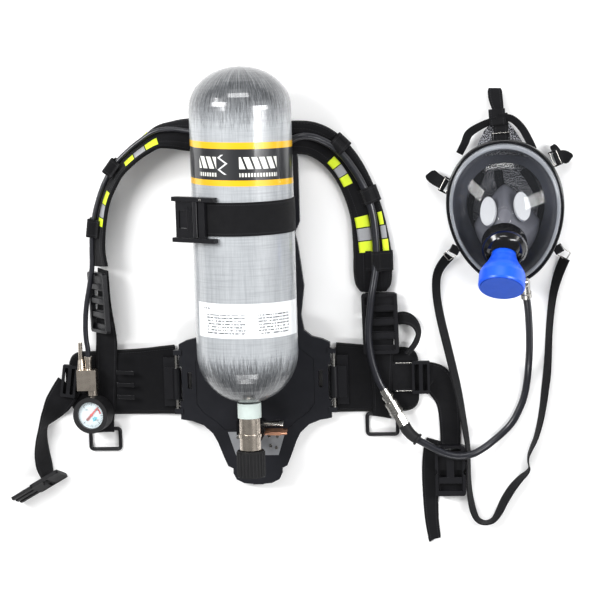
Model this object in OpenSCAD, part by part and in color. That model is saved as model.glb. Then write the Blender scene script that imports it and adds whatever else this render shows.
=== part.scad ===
// Self-contained breathing apparatus: backplate, composite cylinder, harness, gauge and face mask.
// The set lies on its back: +X to the wearer's left, +Y towards the head end, +Z up from the floor.
// The origin is on the floor under the backplate, level with the waist-belt slots.

/* [Cylinder] */
// Outer diameter of the composite cylinder
cyl_d = 157; // [150:1:158]
// Length of the composite cylinder
cyl_len = 520; // [500:5:522]
// Height of the cylinder's axis above the floor
cyl_z = 104; // [103.8:0.1:106]
// Composite wrap thickness
wrap_t = 7; // [4:0.5:9]
// Aluminium liner thickness
liner_t = 3; // [2:0.5:5]
// Diameter of the neck collar
collar_d = 37; // [34:1:40]
// Diameter of the valve body
valve_d = 33; // [30:1:36]
// Diameter of the valve handwheel
wheel_d = 45; // [38:1:48]

/* [Backplate] */
// Half width of the backplate across its waist wings
wing_half = 120; // [114:1:121]
// Height of the backplate's top panel
plate_top = 22; // [20:0.5:23]
// Height of the backplate's underside
plate_base = 12; // [11:0.5:14]
// Wall thickness of the backplate
plate_t = 3; // [2.5:0.5:4]
// Width of a waist-belt slot
slot_w = 7; // [6:0.5:8]
// Length of a waist-belt slot
slot_len = 27; // [24:1:30]

/* [Waist belt] */
// Distance of the hinge rods from the middle
hinge_x = 125; // [124:0.5:128]
// Height of the hinge rods
hinge_z = 19; // [18.5:0.5:20]
// Diameter of the hinge rods
rod_d = 6; // [5:0.5:7]
// Running clearance between rod and sleeve, on the radius
rod_gap = 0.05; // [0.02:0.01:0.1]
// Belt pad thickness
pad_t = 9; // [8:0.5:9]
// Webbing thickness
web_t = 2; // [1.5:0.1:2]

/* [Hoses] */
// Diameter of the supply hose and of the mask hose
hose_d = 11.5; // [10:0.5:12]
// Diameter of the gauge hose
gauge_hose_d = 8; // [7:0.5:8.5]

/* [Gauge] */
// Outer diameter of the gauge's rubber cover
gauge_d = 57; // [52:1:60]
// Diameter of the gauge dial
dial_d = 42; // [38:1:44]
// Tilt of the dial towards the outside
gauge_tilt = 9; // [5:1:10]

/* [Face mask] */
// Width of the mask's frame
mask_w = 181; // [170:1:185]
// Length of the mask's frame
mask_h = 226; // [215:1:232]
// Height of the visor above its rim
visor_rise = 56; // [50:1:60]
// Visor thickness
visor_t = 3; // [2.5:0.5:4]
// Diameter of the port housing
port_d = 70; // [64:1:74]
// Diameter of the demand valve's wide end
bell_d = 71; // [66:1:74]
// Travel of the demand valve's purge cover
purge_travel = 3; // [2:0.5:4]

/* [Hidden] */
$fn = 48;

cyl_r = cyl_d / 2;
cyl_end = -20;                  // neck end of the composite shell
cyl_top = cyl_end + cyl_len;    // far dome
neck_dome = 80;                 // length of the neck-end dome
far_dome = 64;                  // length of the far dome
valve_end = -94;
wheel_top = -95.5;
wheel_end = -137;
reducer_y = -72;
reducer_r = 17;
nut_low = 60.5;
outlet_x = 51;
hinge_half = 51;                // half length of a hinge rod
carrier_y = [-28, 22];          // ends of the belt carriers' sleeves
mask_at = [400, 262, 0];
mask_yaw = 3;
rim_z = 44;
port_at = [398.5, 217, 91];
bell_at = [399.2, 223.1, 90];
bell_turn = [0, 0, 4.7];        // the demand valve leans a little across the mask
bell_lean = 53.2;               // angle between the demand valve's axis and the vertical
bell_len = 84;
coupler_at = [203, -15, 24.8];
coupler_turn = -61.5;
gauge_at = [-258, -47, 42];
needle_angle = 48;

// Unit vector
function unit(v) = v / norm(v);

// Direction of travel at point i of a route
function along(p, i) = unit(p[min(i + 1, len(p) - 1)] - p[max(i - 1, 0)]);

// Level direction to the right of the travel
function right_of(t) = unit(cross(t, [0, 0, 1]));

// One ring: section points [u, v] laid across the travel, turned by a tilt about it
function ring(c, t, tilt, section) =
    let (h = right_of(t), n = cross(h, t))
    let (s = cos(tilt) * h + sin(tilt) * n, m = cos(tilt) * n - sin(tilt) * h)
    [for (k = [len(section) - 1 : -1 : 0]) c + section[k][0] * s + section[k][1] * m];

// Side triangles between rings of m points, r rings in all, the diagonals alike on both faces of a strip
function side_faces(r, m) = [
    for (i = [0 : r - 2], k = [0 : m - 1], half = [0, 1])
        let (a = i * m + k, b = i * m + (k + 1) % m)
        k < m / 2
            ? (half == 0 ? [a, a + m, b] : [b, a + m, b + m])
            : (half == 0 ? [a, a + m, b + m] : [a, b + m, b])
];

// Closed solid through a list of rings
module loft(rings) {
    m = len(rings[0]);
    r = len(rings);
    near = [[for (k = [0 : m - 1]) k]];
    far = [[for (k = [m - 1 : -1 : 0]) (r - 1) * m + k]];
    polyhedron(points = [for (q = rings) each q], faces = concat(side_faces(r, m), near, far));
}

// Closed tube wall: outer rings up, inner rings down, joined at both rims
module shell(rings) {
    m = len(rings[0]);
    r = len(rings);
    closing = [
        for (k = [0 : m - 1], half = [0, 1])
            let (a = (r - 1) * m + k, b = (r - 1) * m + (k + 1) % m, c = k, d = (k + 1) % m)
            half == 0 ? [a, c, b] : [b, c, d]
    ];
    polyhedron(points = [for (q = rings) each q], faces = concat(side_faces(r, m), closing));
}

// Flat section with softened edges
function flat(w, t) =
    let (c = min(t * 0.35, 3))
    [
        [-w / 2, -t / 2 + c], [-w / 2 + c, -t / 2], [w / 2 - c, -t / 2], [w / 2, -t / 2 + c],
        [w / 2, t / 2 - c], [w / 2 - c, t / 2], [-w / 2 + c, t / 2], [-w / 2, t / 2 - c]
    ];

// Plain rectangular section
function strip(w, t) = [[-w / 2, -t / 2], [w / 2, -t / 2], [w / 2, t / 2], [-w / 2, t / 2]];

// Round section with n sides
function round_section(d, n) = [for (k = [0 : n - 1]) d / 2 * [cos(360 * k / n), sin(360 * k / n)]];

// Round cord along a route
module cord(route, d, n) {
    loft([for (i = [0 : len(route) - 1]) ring(route[i], along(route, i), 0, round_section(d, n))]);
}

// Webbing along stations [x, y, z, width, tilt]
module webbing(stations, t) {
    c = [for (s = stations) [s[0], s[1], s[2]]];
    loft([for (i = [0 : len(c) - 1]) ring(c[i], along(c, i), stations[i][4], strip(stations[i][3], t))]);
}

// Pad along stations [x, y, z, width, tilt]
module pad(stations, t) {
    c = [for (s = stations) [s[0], s[1], s[2]]];
    loft([for (i = [0 : len(c) - 1]) ring(c[i], along(c, i), stations[i][4], flat(stations[i][3], t))]);
}

// Egg outline, narrower towards the chin
function egg(w, h, n = 36) = [
    for (k = [0 : n - 1])
        let (a = 360 * k / n)
        [w / 2 * cos(a) * (1 + 0.11 * sin(a)), h / 2 * sin(a)]
];
function egg_at(scale, z) = [for (p = egg(mask_w * scale, mask_h * scale)) [p[0], p[1], z]];

// Both halves of something modelled on the +X side
module both() {
    children();
    mirror([1, 0, 0]) children();
}

// Place along Y with the child's +Z turned to +Y
module along_y(at) {
    translate(at) rotate([-90, 0, 0]) children();
}

// Place with the child's +Z turned to +X
module along_x(at) {
    translate(at) rotate([0, 90, 0]) children();
}

// Plate with rounded corners, between two heights
module slab(w, h, r, z0, z1) {
    translate([0, 0, z0]) linear_extrude(z1 - z0) rounded(w, h, r);
}

// Rectangle with round corners
module rounded(w, h, r) {
    square([w - 2 * r, h], center = true);
    square([w, h - 2 * r], center = true);
    for (x = [-1, 1], y = [-1, 1])
        translate([x * (w / 2 - r), y * (h / 2 - r)]) circle(r);
}

// Routes, chosen by hand along the way the real hoses lie
supply_route = [
    [-8, -55, 30], [-8, -40, 30], [2, -16, 29], [22, 8, 28.5], [40, 32, 28.5], [50, 62, 28.5],
    [52, 110, 28.5], [52, 180, 28.5], [52, 250, 28.5], [52, 310, 28.5], [53, 340, 32],
    [58, 362, 37.5], [68, 378, 40], [84, 385.5, 39.7], [102, 384.5, 35.2], [118, 378, 29.8],
    [134, 368, 25.6], [149, 354, 23.2], [162, 336, 22], [173, 318, 21.6], [182, 299, 21.4],
    [189, 277, 21.4], [193.5, 256, 21.4], [196, 230, 21.4], [197, 204, 21.4], [196, 182, 21.8],
    [193, 160, 24], [188.5, 135, 27], [185, 108, 27.2], [182, 78, 27.2], [184, 43, 27], [190, 16, 26],
    [197.3, -4.5, 24.8], [203, -15, 24.8]
];
gauge_route = [
    [-24, -55, 29], [-25, -38, 29], [-32, -16, 27.5], [-42, 8, 27], [-50, 36, 27], [-52, 90, 27],
    [-52, 160, 27], [-52, 230, 27], [-51, 300, 27], [-50, 340, 27.5], [-50, 362, 32],
    [-54, 384, 37], [-66, 394, 37.2], [-80, 396, 37], [-97, 398.5, 35], [-117, 401, 33.2],
    [-142.5, 398.5, 32.2], [-167.5, 383.8, 30.8], [-190.5, 366, 30.2], [-211.5, 344.4, 30], [-226.5, 320, 30],
    [-236.5, 296, 29.8], [-243.8, 271.5, 30.4], [-248.8, 246, 31], [-251, 214, 31],
    [-252, 187, 31], [-257, 158, 31], [-263, 128, 31], [-266, 100, 31], [-266, 72, 31],
    [-264, 56, 31], [-264, 44, 31]
];
mask_route = [
    [234.2, -72.2, 24.8], [238.6, -80.3, 24.8], [244.5, -87.5, 24.8], [250.5, -92.5, 24.9],
    [256, -96.5, 25], [270, -104, 26.4], [286, -112.5, 28], [303, -119.5, 29], [321, -122.5, 29],
    [339, -120, 26.5], [356.5, -112.5, 19.5], [373, -101.5, 12.4], [389, -88.5, 8.2], [403, -73.5, 6.6],
    [414, -54, 6.5], [422, -34, 6.5], [427, -11, 7.5], [430, 13, 13], [432, 38, 25],
    [433, 65, 42], [433, 92, 60], [432, 118, 76], [430, 136, 86]
];
neck_route = [
    [311, 193, 12, 18, 25], [298, 178, 10.5, 19, 40], [290, 160, 10.5, 20, 52],
    [289, 132, 10.5, 20, 56], [294, 96, 10.5, 20, 56], [304, 50, 10.5, 20, 56],
    [315, 0, 10.6, 20, 58], [321, -30, 10.8, 20, 62], [326, -62, 10.8, 20, 66],
    [330.5, -92, 10.8, 20, 70], [333, -112, 10.6, 20, 74], [333.4, -135, 10.6, 20, 76],
    [333.4, -160, 10.4, 20, 75], [334.5, -185, 10.2, 20, 70], [337.5, -206, 9.9, 20, 66],
    [341.5, -220, 9.9, 20, 69], [346.5, -228.5, 10.2, 20, 76], [355, -233, 10.4, 20, 81],
    [363.5, -232.5, 10.4, 20, 80], [372, -228, 10.1, 20, 72], [380, -216, 9.4, 20, 60],
    [389, -198, 9, 20, 55], [401, -179, 9.2, 20, 58], [414.5, -163, 9.8, 20, 68],
    [424, -154.5, 10.2, 20, 78], [428.8, -146.5, 10.4, 20, 85], [427.2, -136.5, 10.4, 20, 86],
    [428, -126, 10.4, 20, 84], [433, -113.5, 10.4, 20, 78], [440, -98, 10.2, 20, 72],
    [446.5, -75, 9.9, 20, 66], [451.5, -50, 9.6, 20, 61], [455.5, -22, 9.2, 20, 56],
    [458.5, 0, 9, 20, 54], [461, 28, 9.6, 20, 57], [464, 78, 10, 20, 60],
    [470, 126, 10, 20, 56], [479, 160, 11, 20, 45], [490, 186, 12, 18, 30]
];
left_pad_route = [
    [-58, 389, 27.6, 52, 0], [-78, 391, 27.8, 52, -6], [-97, 392, 26.5, 52, -20],
    [-116, 392, 27, 52, -36], [-139, 389, 28, 52, -48], [-161, 375, 28.5, 52, -60],
    [-183, 358, 28.5, 52, -64], [-203, 338, 28.5, 52, -66], [-217, 315, 28.5, 52, -66],
    [-227, 292, 28.5, 52, -66], [-234, 269, 28.5, 52, -62], [-239, 245, 28.5, 52, -58],
    [-241, 214, 28.5, 52, -58], [-238, 188, 28, 50, -56]
];
right_pad_route = [
    [58, 384, 27.7, 50, 0], [80, 384, 27.7, 52, 0], [99, 381, 21.5, 53, 0], [116, 373, 16, 53, 0],
    [132, 360, 12.5, 52, 0], [147, 343, 11, 51, 0], [160, 322, 10, 50, 0], [170, 300, 9.5, 50, 0],
    [178, 277, 9.5, 51, 0], [184, 253, 9.5, 53, 0], [188, 223, 9.5, 57, 0], [190, 197, 9.5, 60, 0],
    [190, 172, 9.5, 61, 0], [190, 150, 9.5, 56, 0], [190, 138, 9.5, 40, 0]
];
left_belt_route = [
    [-299, -4, 13.2, 44, 0], [-308, -17, 13.2, 44, 0], [-317, -30, 13.4, 42, 6],
    [-327, -44, 15.4, 40, 36], [-336.5, -57.5, 18.4, 38, 60], [-343, -70, 19.8, 38, 78],
    [-347, -90, 19.4, 38, 74], [-347.5, -112, 18, 38, 64], [-345, -132, 17.6, 38, 60],
    [-341.5, -146, 19.5, 38, 68], [-338, -156, 22.4, 38, 77], [-338.2, -161, 22.6, 38, 79]
];

// Backplate: moulded pan with waist wings, cylinder cradle and bumper foot
plate_outline = [
    [0, -166], [22, -164], [34, -158], [39, -148], [39, -140], [47, -136], [53, -122],
    [62, -98], [70, -83], [84, -70], [102, -63], [wing_half, -60], [wing_half, 60], [108, 66],
    [92, 70], [80, 80], [76, 104], [82, 150], [74, 216], [70, 234], [78, 252], [78, 348],
    [70, 400], [46, 412], [0, 412]
];
module backplate() color([0.17, 0.175, 0.2]) {
    difference() {
        union() {
            translate([0, 0, plate_base]) linear_extrude(plate_top - plate_base) both()
                polygon(concat(plate_outline, [[-8, 412], [-8, -166]]));
            for (s = [-1, 1], y = [-1, 1])
                translate([s * (wing_half + 2.5), y * (hinge_half - 4), plate_base + 6])
                    cube([13, 8, 12], center = true);
            for (y = [104, 336]) translate([-36, y, plate_top - 1.5]) cube([72, 14, 12]);
        }
        // hollow underside
        translate([0, 0, plate_base - 1]) linear_extrude(plate_top - plate_base + 1 - plate_t) both()
            polygon([
                [-1, -132], [40, -128], [56, -92], [80, -60], [91, -54], [91, 52],
                [72, 66], [70, 100], [72, 150], [66, 216], [64, 234], [70, 252], [70, 344], [62, 390],
                [-1, 390]
            ]);
        // top panel, one step down, held by a raised rim
        difference() {
            translate([0, 0, plate_top - 1]) linear_extrude(2) both() polygon([
                [-1, -78], [50, -78], [62, -66], [84, -50], [94, -36], [94, 34], [72, 52], [66, 100],
                [70, 160], [62, 230], [66, 260], [66, 350], [56, 388], [-1, 388]
            ]);
            for (y = [104, 336]) translate([-36, y, 0]) cube([72, 14, 60]);
        }
        // the cradle's ribs are hollowed to the cylinder
        along_y([0, 90, cyl_z]) cylinder(r = cyl_r + 0.1, h = 270, $fn = 96);
        // waist-belt slots
        both() translate([104, 2, 0]) linear_extrude(60) rounded(slot_w, slot_len, 2);
        // notches for the belt carriers' sleeves
        both() translate([116.5, carrier_y[0] - 3, 0]) cube([20, carrier_y[1] - carrier_y[0] + 6, 60]);
        // seats for the hinge rods
        both() along_y([hinge_x, -hinge_half - 1, hinge_z]) cylinder(d = rod_d, h = 2 * hinge_half + 2);
        // reducer bracket seat
        bracket_block(plate_top - 3, 30);
    }
}

// Foam pad against the wearer's back; its underside is what the set lies on
module lumbar_pad() color([0.08, 0.08, 0.09]) {
    slab(176, 104, 26, 0, plate_base);
    translate([0, 300, 0]) slab(120, 84, 24, 0, plate_base);
}

// Trapezoid bracket that carries the reducer
module bracket_block(z0, z1) {
    translate([0, 0, z0]) linear_extrude(z1 - z0) polygon([[-46, -81], [46, -81], [34, -119], [-34, -119]]);
}
rivet_at = [[20, -88], [33, -89], [22, -104], [31, -107], [-30, -90], [-25, -107]];
module reducer_bracket() color([0.62, 0.63, 0.66]) difference() {
    bracket_block(plate_top - 3, plate_top + 0.5);
    for (p = rivet_at) translate([p[0], p[1], 0]) cylinder(r = 1.6, h = 60);
}
module bracket_rivets() color("silver") for (p = rivet_at) translate([p[0], p[1], plate_top - 3]) {
    cylinder(r = 1.6, h = 3.5);
    translate([0, 0, 3.5]) difference() {
        cylinder(r = 2.6, h = 1);
        translate([0, 0, 0.4]) cylinder(r = 1.1, h = 2);
    }
}

// Half profile of a domed vessel: radius r, inset from the shell by t
function vessel(t) = concat(
    [[0, cyl_end + t]],
    [[12 - t * 0.2, cyl_end + t]],
    [for (a = [12 : 6 : 84])
        [(cyl_r - t) * sin(a), cyl_end + neck_dome - (neck_dome - t) * cos(a)]],
    [[cyl_r - t, cyl_end + neck_dome], [cyl_r - t, cyl_top - far_dome]],
    [for (a = [84 : -6 : 6]) [(cyl_r - t) * sin(a), cyl_top - far_dome + (far_dome - t) * cos(a)]],
    [[0, cyl_top - t]]
);
module vessel_solid(t) {
    along_y([0, 0, cyl_z]) rotate_extrude($fn = 96) polygon(vessel(t));
}
module neck_bore(r) {
    along_y([0, cyl_end - 1, cyl_z]) cylinder(r = r, h = 24);
}
module cylinder_shell() color([0.7, 0.71, 0.73]) difference() {
    vessel_solid(0);
    vessel_solid(wrap_t);
    neck_bore(12);
}
module cylinder_liner() color("silver") difference() {
    union() {
        vessel_solid(wrap_t);
        along_y([0, cyl_end, cyl_z]) cylinder(r = 12, h = 16);
    }
    vessel_solid(wrap_t + liner_t);
    neck_bore(8);
}

// Pale ring between the shell and the valve
module neck_collar() color([0.78, 0.82, 0.81]) difference() {
    along_y([0, cyl_end - 23.5, cyl_z]) cylinder(d = collar_d, h = 23.5);
    along_y([0, cyl_end - 24, cyl_z]) cylinder(r = 11, h = 30);
}

// Cylinder valve: body along the cylinder's axis, threaded spigot, outlet pointing down
module valve_body() color([0.69, 0.65, 0.61]) difference() {
    union() {
        along_y([0, valve_end, cyl_z]) cylinder(d = valve_d, h = cyl_end - 23.5 - valve_end);
        along_y([0, valve_end + 20, cyl_z]) cylinder(d = valve_d + 3, h = 5);
        along_y([0, cyl_end - 23.5, cyl_z]) cylinder(r = 11, h = 23.5);
        along_y([0, cyl_end, cyl_z]) cylinder(r = 8, h = 16);
        translate([0, reducer_y, nut_low + 5.5]) cylinder(r = 12, h = cyl_z - nut_low - 5.5);
    }
    along_y([0, valve_end - 1, cyl_z]) cylinder(r = 5.05, h = 30);
    along_y([0, valve_end + 28, cyl_z]) cylinder(r = 3, h = 100);
    translate([0, reducer_y, nut_low]) cylinder(r = 4, h = cyl_z - nut_low);
}
module valve_stem() color("silver") along_y([0, wheel_end + 6, cyl_z]) {
    cylinder(r = 5, h = valve_end - wheel_end + 18);
}
module handwheel() color([0.08, 0.08, 0.09]) difference() {
    along_y([0, wheel_end, cyl_z]) {
        cylinder(d = wheel_d - 3, h = wheel_top - wheel_end);
        for (a = [0 : 15 : 345]) rotate(a) translate([wheel_d / 2 - 2, 0, 2])
            cylinder(r = 2, h = wheel_top - wheel_end - 4);
    }
    along_y([0, wheel_end + 6, cyl_z]) cylinder(r = 5, h = 60);
    along_y([0, wheel_top - 6, cyl_z]) cylinder(r = 15, h = 8);
}

// Union nut that clamps the reducer to the cylinder valve
module coupling_nut() color([0.12, 0.12, 0.13]) difference() {
    translate([0, reducer_y, nut_low]) {
        cylinder(r = 17.5, h = 18);
        for (a = [0 : 20 : 340]) rotate(a) translate([17.5, 0, 0]) cylinder(r = 1.5, h = 18);
    }
    translate([0, reducer_y, nut_low - 1]) cylinder(r = 8.1, h = 20);
    translate([0, reducer_y, nut_low + 5.2]) cylinder(r = 12.1, h = 20);
}

// Pressure reducer on the bracket
module reducer_body() color([0.2, 0.2, 0.22]) difference() {
    union() {
        translate([0, reducer_y, plate_top + 0.5]) cylinder(r = reducer_r, h = nut_low - 0.9 - plate_top);
        translate([0, reducer_y, 50]) cylinder(r = 8, h = nut_low + 5.3 - 50);
        translate([-16, reducer_y, 35]) cube([26, 20, 20], center = true);
        translate([-29, reducer_y - 2, 24]) cube([30, 19, 12]);
    }
    translate([0, reducer_y, 25]) cylinder(r = 9, h = 27);
    translate([0, reducer_y, 50]) cylinder(r = 3, h = 30);
    along_x([8, reducer_y + 8, 46]) cylinder(r = 4, h = 20);
    along_x([8, reducer_y - 5, 45]) cylinder(r = 5.5, h = 20);
}
module reducer_piston() color("silver") translate([0, reducer_y, 27]) {
    cylinder(r = 8.9, h = 6);
    cylinder(r = 3.5, h = 18);
}
module auxiliary_outlet() color([0.7, 0.56, 0.48]) difference() {
    union() {
        along_x([9, reducer_y - 5, 45]) cylinder(r = 5.5, h = outlet_x - 9);
        along_x([24, reducer_y - 5, 45]) cylinder(r = 6.5, h = 18, $fn = 6);
    }
    along_x([outlet_x - 16, reducer_y - 5, 45]) cylinder(r = 3.5, h = 20);
}
module relief_valve() color("silver") {
    along_x([9, reducer_y + 8, 46]) cylinder(r = 4, h = 32);
    along_x([40, reducer_y + 8, 46]) cylinder(r = 5.2, h = 6);
}

// Webbing band round the cylinder
band_y = [247, 298];
module cylinder_band() color([0.06, 0.06, 0.07]) difference() {
    along_y([0, band_y[0], cyl_z]) cylinder(r = cyl_r + web_t, h = band_y[1] - band_y[0], $fn = 96);
    along_y([0, band_y[0] - 1, cyl_z]) cylinder(r = cyl_r, h = 60, $fn = 96);
    translate([-60, band_y[0] - 1, 0]) cube([120, 60, plate_top + 4.5]);
}

// Cam buckle on the band's left side: two side rails, a crossbar and a lever on a pin between them
module at_buckle() {
    translate([0, 0, cyl_z]) rotate([0, -30, 0]) translate([0, 0, cyl_r + web_t + 0.05]) children();
}
module band_buckle() color([0.1, 0.1, 0.11]) at_buckle() difference() {
    union() {
        translate([-68, 237, 0]) cube([80, 6.6, 10]);
        translate([-68, 299.4, 0]) cube([80, 6.6, 10]);
        translate([-20, 240, 0]) cube([12, 63, 6]);
    }
    along_y([-26, 238.5, 5]) cylinder(r = 2.5, h = 66);
}
module band_lever() color([0.13, 0.13, 0.14]) at_buckle() {
    along_y([-26, 239, 5]) cylinder(r = 2.44, h = 65);
    along_y([-26, 244, 5]) cylinder(r = 4.4, h = 55);
    difference() {
        translate([-62, 244, 3]) cube([36, 55, 4.5]);
        translate([-56, 258, 0]) cube([14, 27, 30]);
    }
}

// Shoulder straps
module shoulder_pad_left() color([0.08, 0.08, 0.09]) pad(left_pad_route, 9);
module shoulder_pad_right() color([0.08, 0.08, 0.09]) pad(right_pad_route, 11);

// Hook-and-loop keepers round pad and hose: [place, way, tilt, pad width, length, low, high, hose offset]
keeper_places = [
    [[-204, 336.5, 28.5], [-19, -25, 0], -66, 53, 22, -4.9, 13.6, 3],
    [[-237, 254, 28.5], [-4.5, -24, 0], -60, 53, 24, -4.9, 13.6, 3],
    [[133, 359, 12.4], [15.5, -15, -1.2], 0, 53.5, 26, -5.9, 18.8, -8],
    [[174, 287, 9.5], [8, -23, 0], 0, 52.5, 26, -5.9, 18.4, -11],
    [[190, 186, 9.5], [0.5, -24, 0], 0, 62, 30, -5.9, 18.4, -6]
];
function keeper_section(w, low, high, mid, e) = [
    [-w / 2 - e, low - e], [w / 2 + e, low - e], [w / 2 + e, -low + e * 0.6], [mid + 7 + e * 0.5, high + e],
    [mid - 7 - e * 0.5, high + e], [-w / 2 - e, -low + e * 0.6]
];
module hose_keepers() color([0.06, 0.06, 0.07]) for (k = keeper_places) {
    t = unit(k[1]);
    ends = [k[0] - t * k[4] / 2, k[0] + t * k[4] / 2];
    shell([
        for (q = [[0, 1.6], [1, 1.6], [1, 0], [0, 0]])
            ring(ends[q[0]], t, k[2], keeper_section(k[3], k[5], k[6], k[7], q[1]))
    ]);
}

// Ladder adjusters under the shoulder pads
module adjuster() {
    difference() {
        slab(56, 96, 4, 0, 7.5);
        slab(46, 86, 2, 2.5, 20);
        for (y = [-30, -8, 14]) translate([0, y, 0]) cube([42, 9, 40], center = true);
    }
    for (y = [-19, 3, 25]) translate([0, y, 4]) cube([46.4, 8, 4], center = true);
}
module strap_adjusters() color([0.12, 0.12, 0.13]) {
    translate([200, 88, 12.6]) rotate(1) adjuster();
    translate([-240.5, 130, 26.5]) rotate([0, -54, 2]) adjuster();
}

// Webbing from the adjusters down over the belt pads to the pull rings
module pull_straps() color([0.05, 0.05, 0.06]) {
    webbing([[200, 136, 5, 46, 0], [200, 100, 6, 44, 0], [200, 72, 9.5, 42, 0], [200, 60, 11.4, 40, 0],
        [200, 30, 11.4, 36, 0], [200, -20, 11.4, 30, 0], [200, -50, 11.4, 30, 0]], web_t);
    webbing([[-236, 182, 24, 42, -58], [-236, 130, 22, 40, -50], [-236, 90, 19, 38, -30],
        [-236, 64, 15.5, 36, -12], [-238, 44, 11.6, 34, 0], [-240, -10, 11.6, 32, 0],
        [-244, -56, 11.4, 30, 0], [-245, -70, 11.4, 30, 0]], web_t);
    webbing([[231, 98, 8, 15, 40], [243, 98, 9.5, 16, 60], [255, 90, 10.5, 17, 74], [262, 74, 13, 17, 78],
        [260, 56, 21, 17, 78], [250, 44, 21.5, 17, 74], [240, 38, 20.5, 16, 66]], web_t);
}

// Rounded ring on the end of a pull strap, hanging from its top bar
module pull_ring(at, w, h) {
    translate(at) {
        for (y = [0, -h]) along_x([-w / 2 + 8, y, 0]) cylinder(r = 3, h = w - 16);
        for (s = [-1, 1]) {
            translate([s * (w / 2 - 3), -5, 0]) rotate([90, 0, 0]) cylinder(r = 3, h = h - 10);
            translate([s * (w / 2 - 8), -5, 0]) ring_corner(s > 0 ? 0 : 90);
            translate([s * (w / 2 - 8), -h + 5, 0]) ring_corner(s > 0 ? 270 : 180);
        }
    }
}
module ring_corner(a) {
    rotate(a) intersection() {
        rotate_extrude($fn = 32) translate([5, 0]) circle(3, $fn = 24);
        translate([0, 0, -5]) cube(10);
    }
}
ring_right_at = [198.5, -57.5, 3.4];
ring_left_at = [-246, -77, 3.4];
module pull_ring_left() color([0.09, 0.09, 0.1]) pull_ring(ring_left_at, 54, 33);
module pull_ring_right() color([0.09, 0.09, 0.1]) pull_ring(ring_right_at, 54, 33);

// Steel rods that the waist pads turn on
module hinge_rods() color("dimgray") both() along_y([hinge_x, -hinge_half, hinge_z])
    cylinder(d = rod_d, h = 2 * hinge_half);

// Waist pads, belt carriers and belt webbing
pad_z = 1;
module belt_pad(end) {
    translate([0, 0, pad_z]) linear_extrude(pad_t) union() {
        polygon([[hinge_x + 1.5, -54], [end - 40, -53], [end - 40, 49], [hinge_x + 1.5, 58]]);
        translate([end - 46, -2]) rounded(92, 102, 22);
    }
}
module belt_carrier() {
    difference() {
        union() {
            along_y([hinge_x, carrier_y[0], hinge_z]) cylinder(r = 6.5, h = carrier_y[1] - carrier_y[0]);
            translate([hinge_x, carrier_y[0], pad_z + pad_t])
                cube([20, carrier_y[1] - carrier_y[0], hinge_z - pad_z - pad_t]);
            translate([hinge_x + 4, -40, pad_z + pad_t]) cube([18, 78, 3]);
        }
        along_y([hinge_x, -60, hinge_z]) cylinder(r = rod_d / 2 + rod_gap, h = 120);
    }
}
module belt_pad_right() color([0.07, 0.07, 0.08]) belt_pad(258);
module belt_pad_left() color([0.07, 0.07, 0.08]) mirror([1, 0, 0]) belt_pad(300);
module belt_carrier_right() color([0.1, 0.1, 0.11]) belt_carrier();
module belt_carrier_left() color([0.1, 0.1, 0.11]) mirror([1, 0, 0]) belt_carrier();

// Right belt: out of the pad, through the slider, folded down to the buckle, with its free tail
module belt_webbing_right() color([0.05, 0.05, 0.06]) {
    webbing([[218, 2, 11, 47, 0], [270, 2, 11, 47, 0], [279, 2, 9, 46, 0], [286, 2, 3, 46, 0]], web_t);
    translate([0, 0, 1]) linear_extrude(web_t) polygon([
        [281, 24], [289, 24], [322, -38], [321, -112], [290, -112], [286, -150], [284.5, -200], [287, -258],
        [267.5, -262], [262, -238], [260, -178], [259, -150], [267, -112], [289, -100], [286, -22], [281, -22]
    ]);
}
module belt_webbing_left() color([0.05, 0.05, 0.06]) {
    webbing([[-286, 4, 11.1, 47, 0], [-305, 4, 11.1, 47, 0]], web_t);
    webbing(left_belt_route, web_t);
}

// Three-bar sliders
module slider(w, h) {
    difference() {
        slab(w, h, 2, 0, 7);
        for (s = [-1, 1]) translate([s * (w / 4 - 0.5), 0, 0]) cube([w / 2 - 7, h - 10, 40], center = true);
    }
}
module belt_slider_right() color([0.12, 0.12, 0.13]) translate([262, 2, 12.3]) slider(28, 52);
module belt_slider_left() color([0.12, 0.12, 0.13]) translate([-298.5, 3, 14.3]) rotate(-8) slider(24, 52);

// Belt buckle: socket with a press button, and the tongue that snaps in
socket_at = [305, -148, 4];
module buckle_socket() color([0.13, 0.13, 0.145]) translate(socket_at) difference() {
    slab(48, 80, 5, 0, 16);
    translate([0, -30, 8]) cube([34, 60, 8], center = true);
    translate([0, 34, 8]) cube([34, 5, 40], center = true);
    // open well round the press button
    translate([-19, -32, 7.5]) cube([38, 56, 20]);
    // finger notches in the rims
    for (s = [-1, 1]) translate([s * 26.5, -2, 8]) cylinder(r = 6, h = 20);
}
module buckle_button() color([0.2, 0.2, 0.22]) translate(socket_at) {
    translate([-6, -12, 11]) cube([12, 33, 3.4]);
    translate([-18.4, -20, 11]) cube([36.8, 10, 4]);
}
tongue_at = [-337.6, -157.8, 22.6];
module at_tongue() {
    translate(tongue_at) rotate([0, 0, 30]) rotate([68, 0, 0]) children();
}
module buckle_tongue() color([0.1, 0.1, 0.11]) at_tongue() {
    difference() {
        slab(52, 46, 4, -3, 3);
        cube([8, 40.6, 20], center = true);
    }
    for (s = [-1, 0, 1]) translate([-62, s * 16 - (s == 0 ? 5 : 4), -2.4]) cube([38, s == 0 ? 10 : 8, 4.8]);
}

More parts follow.
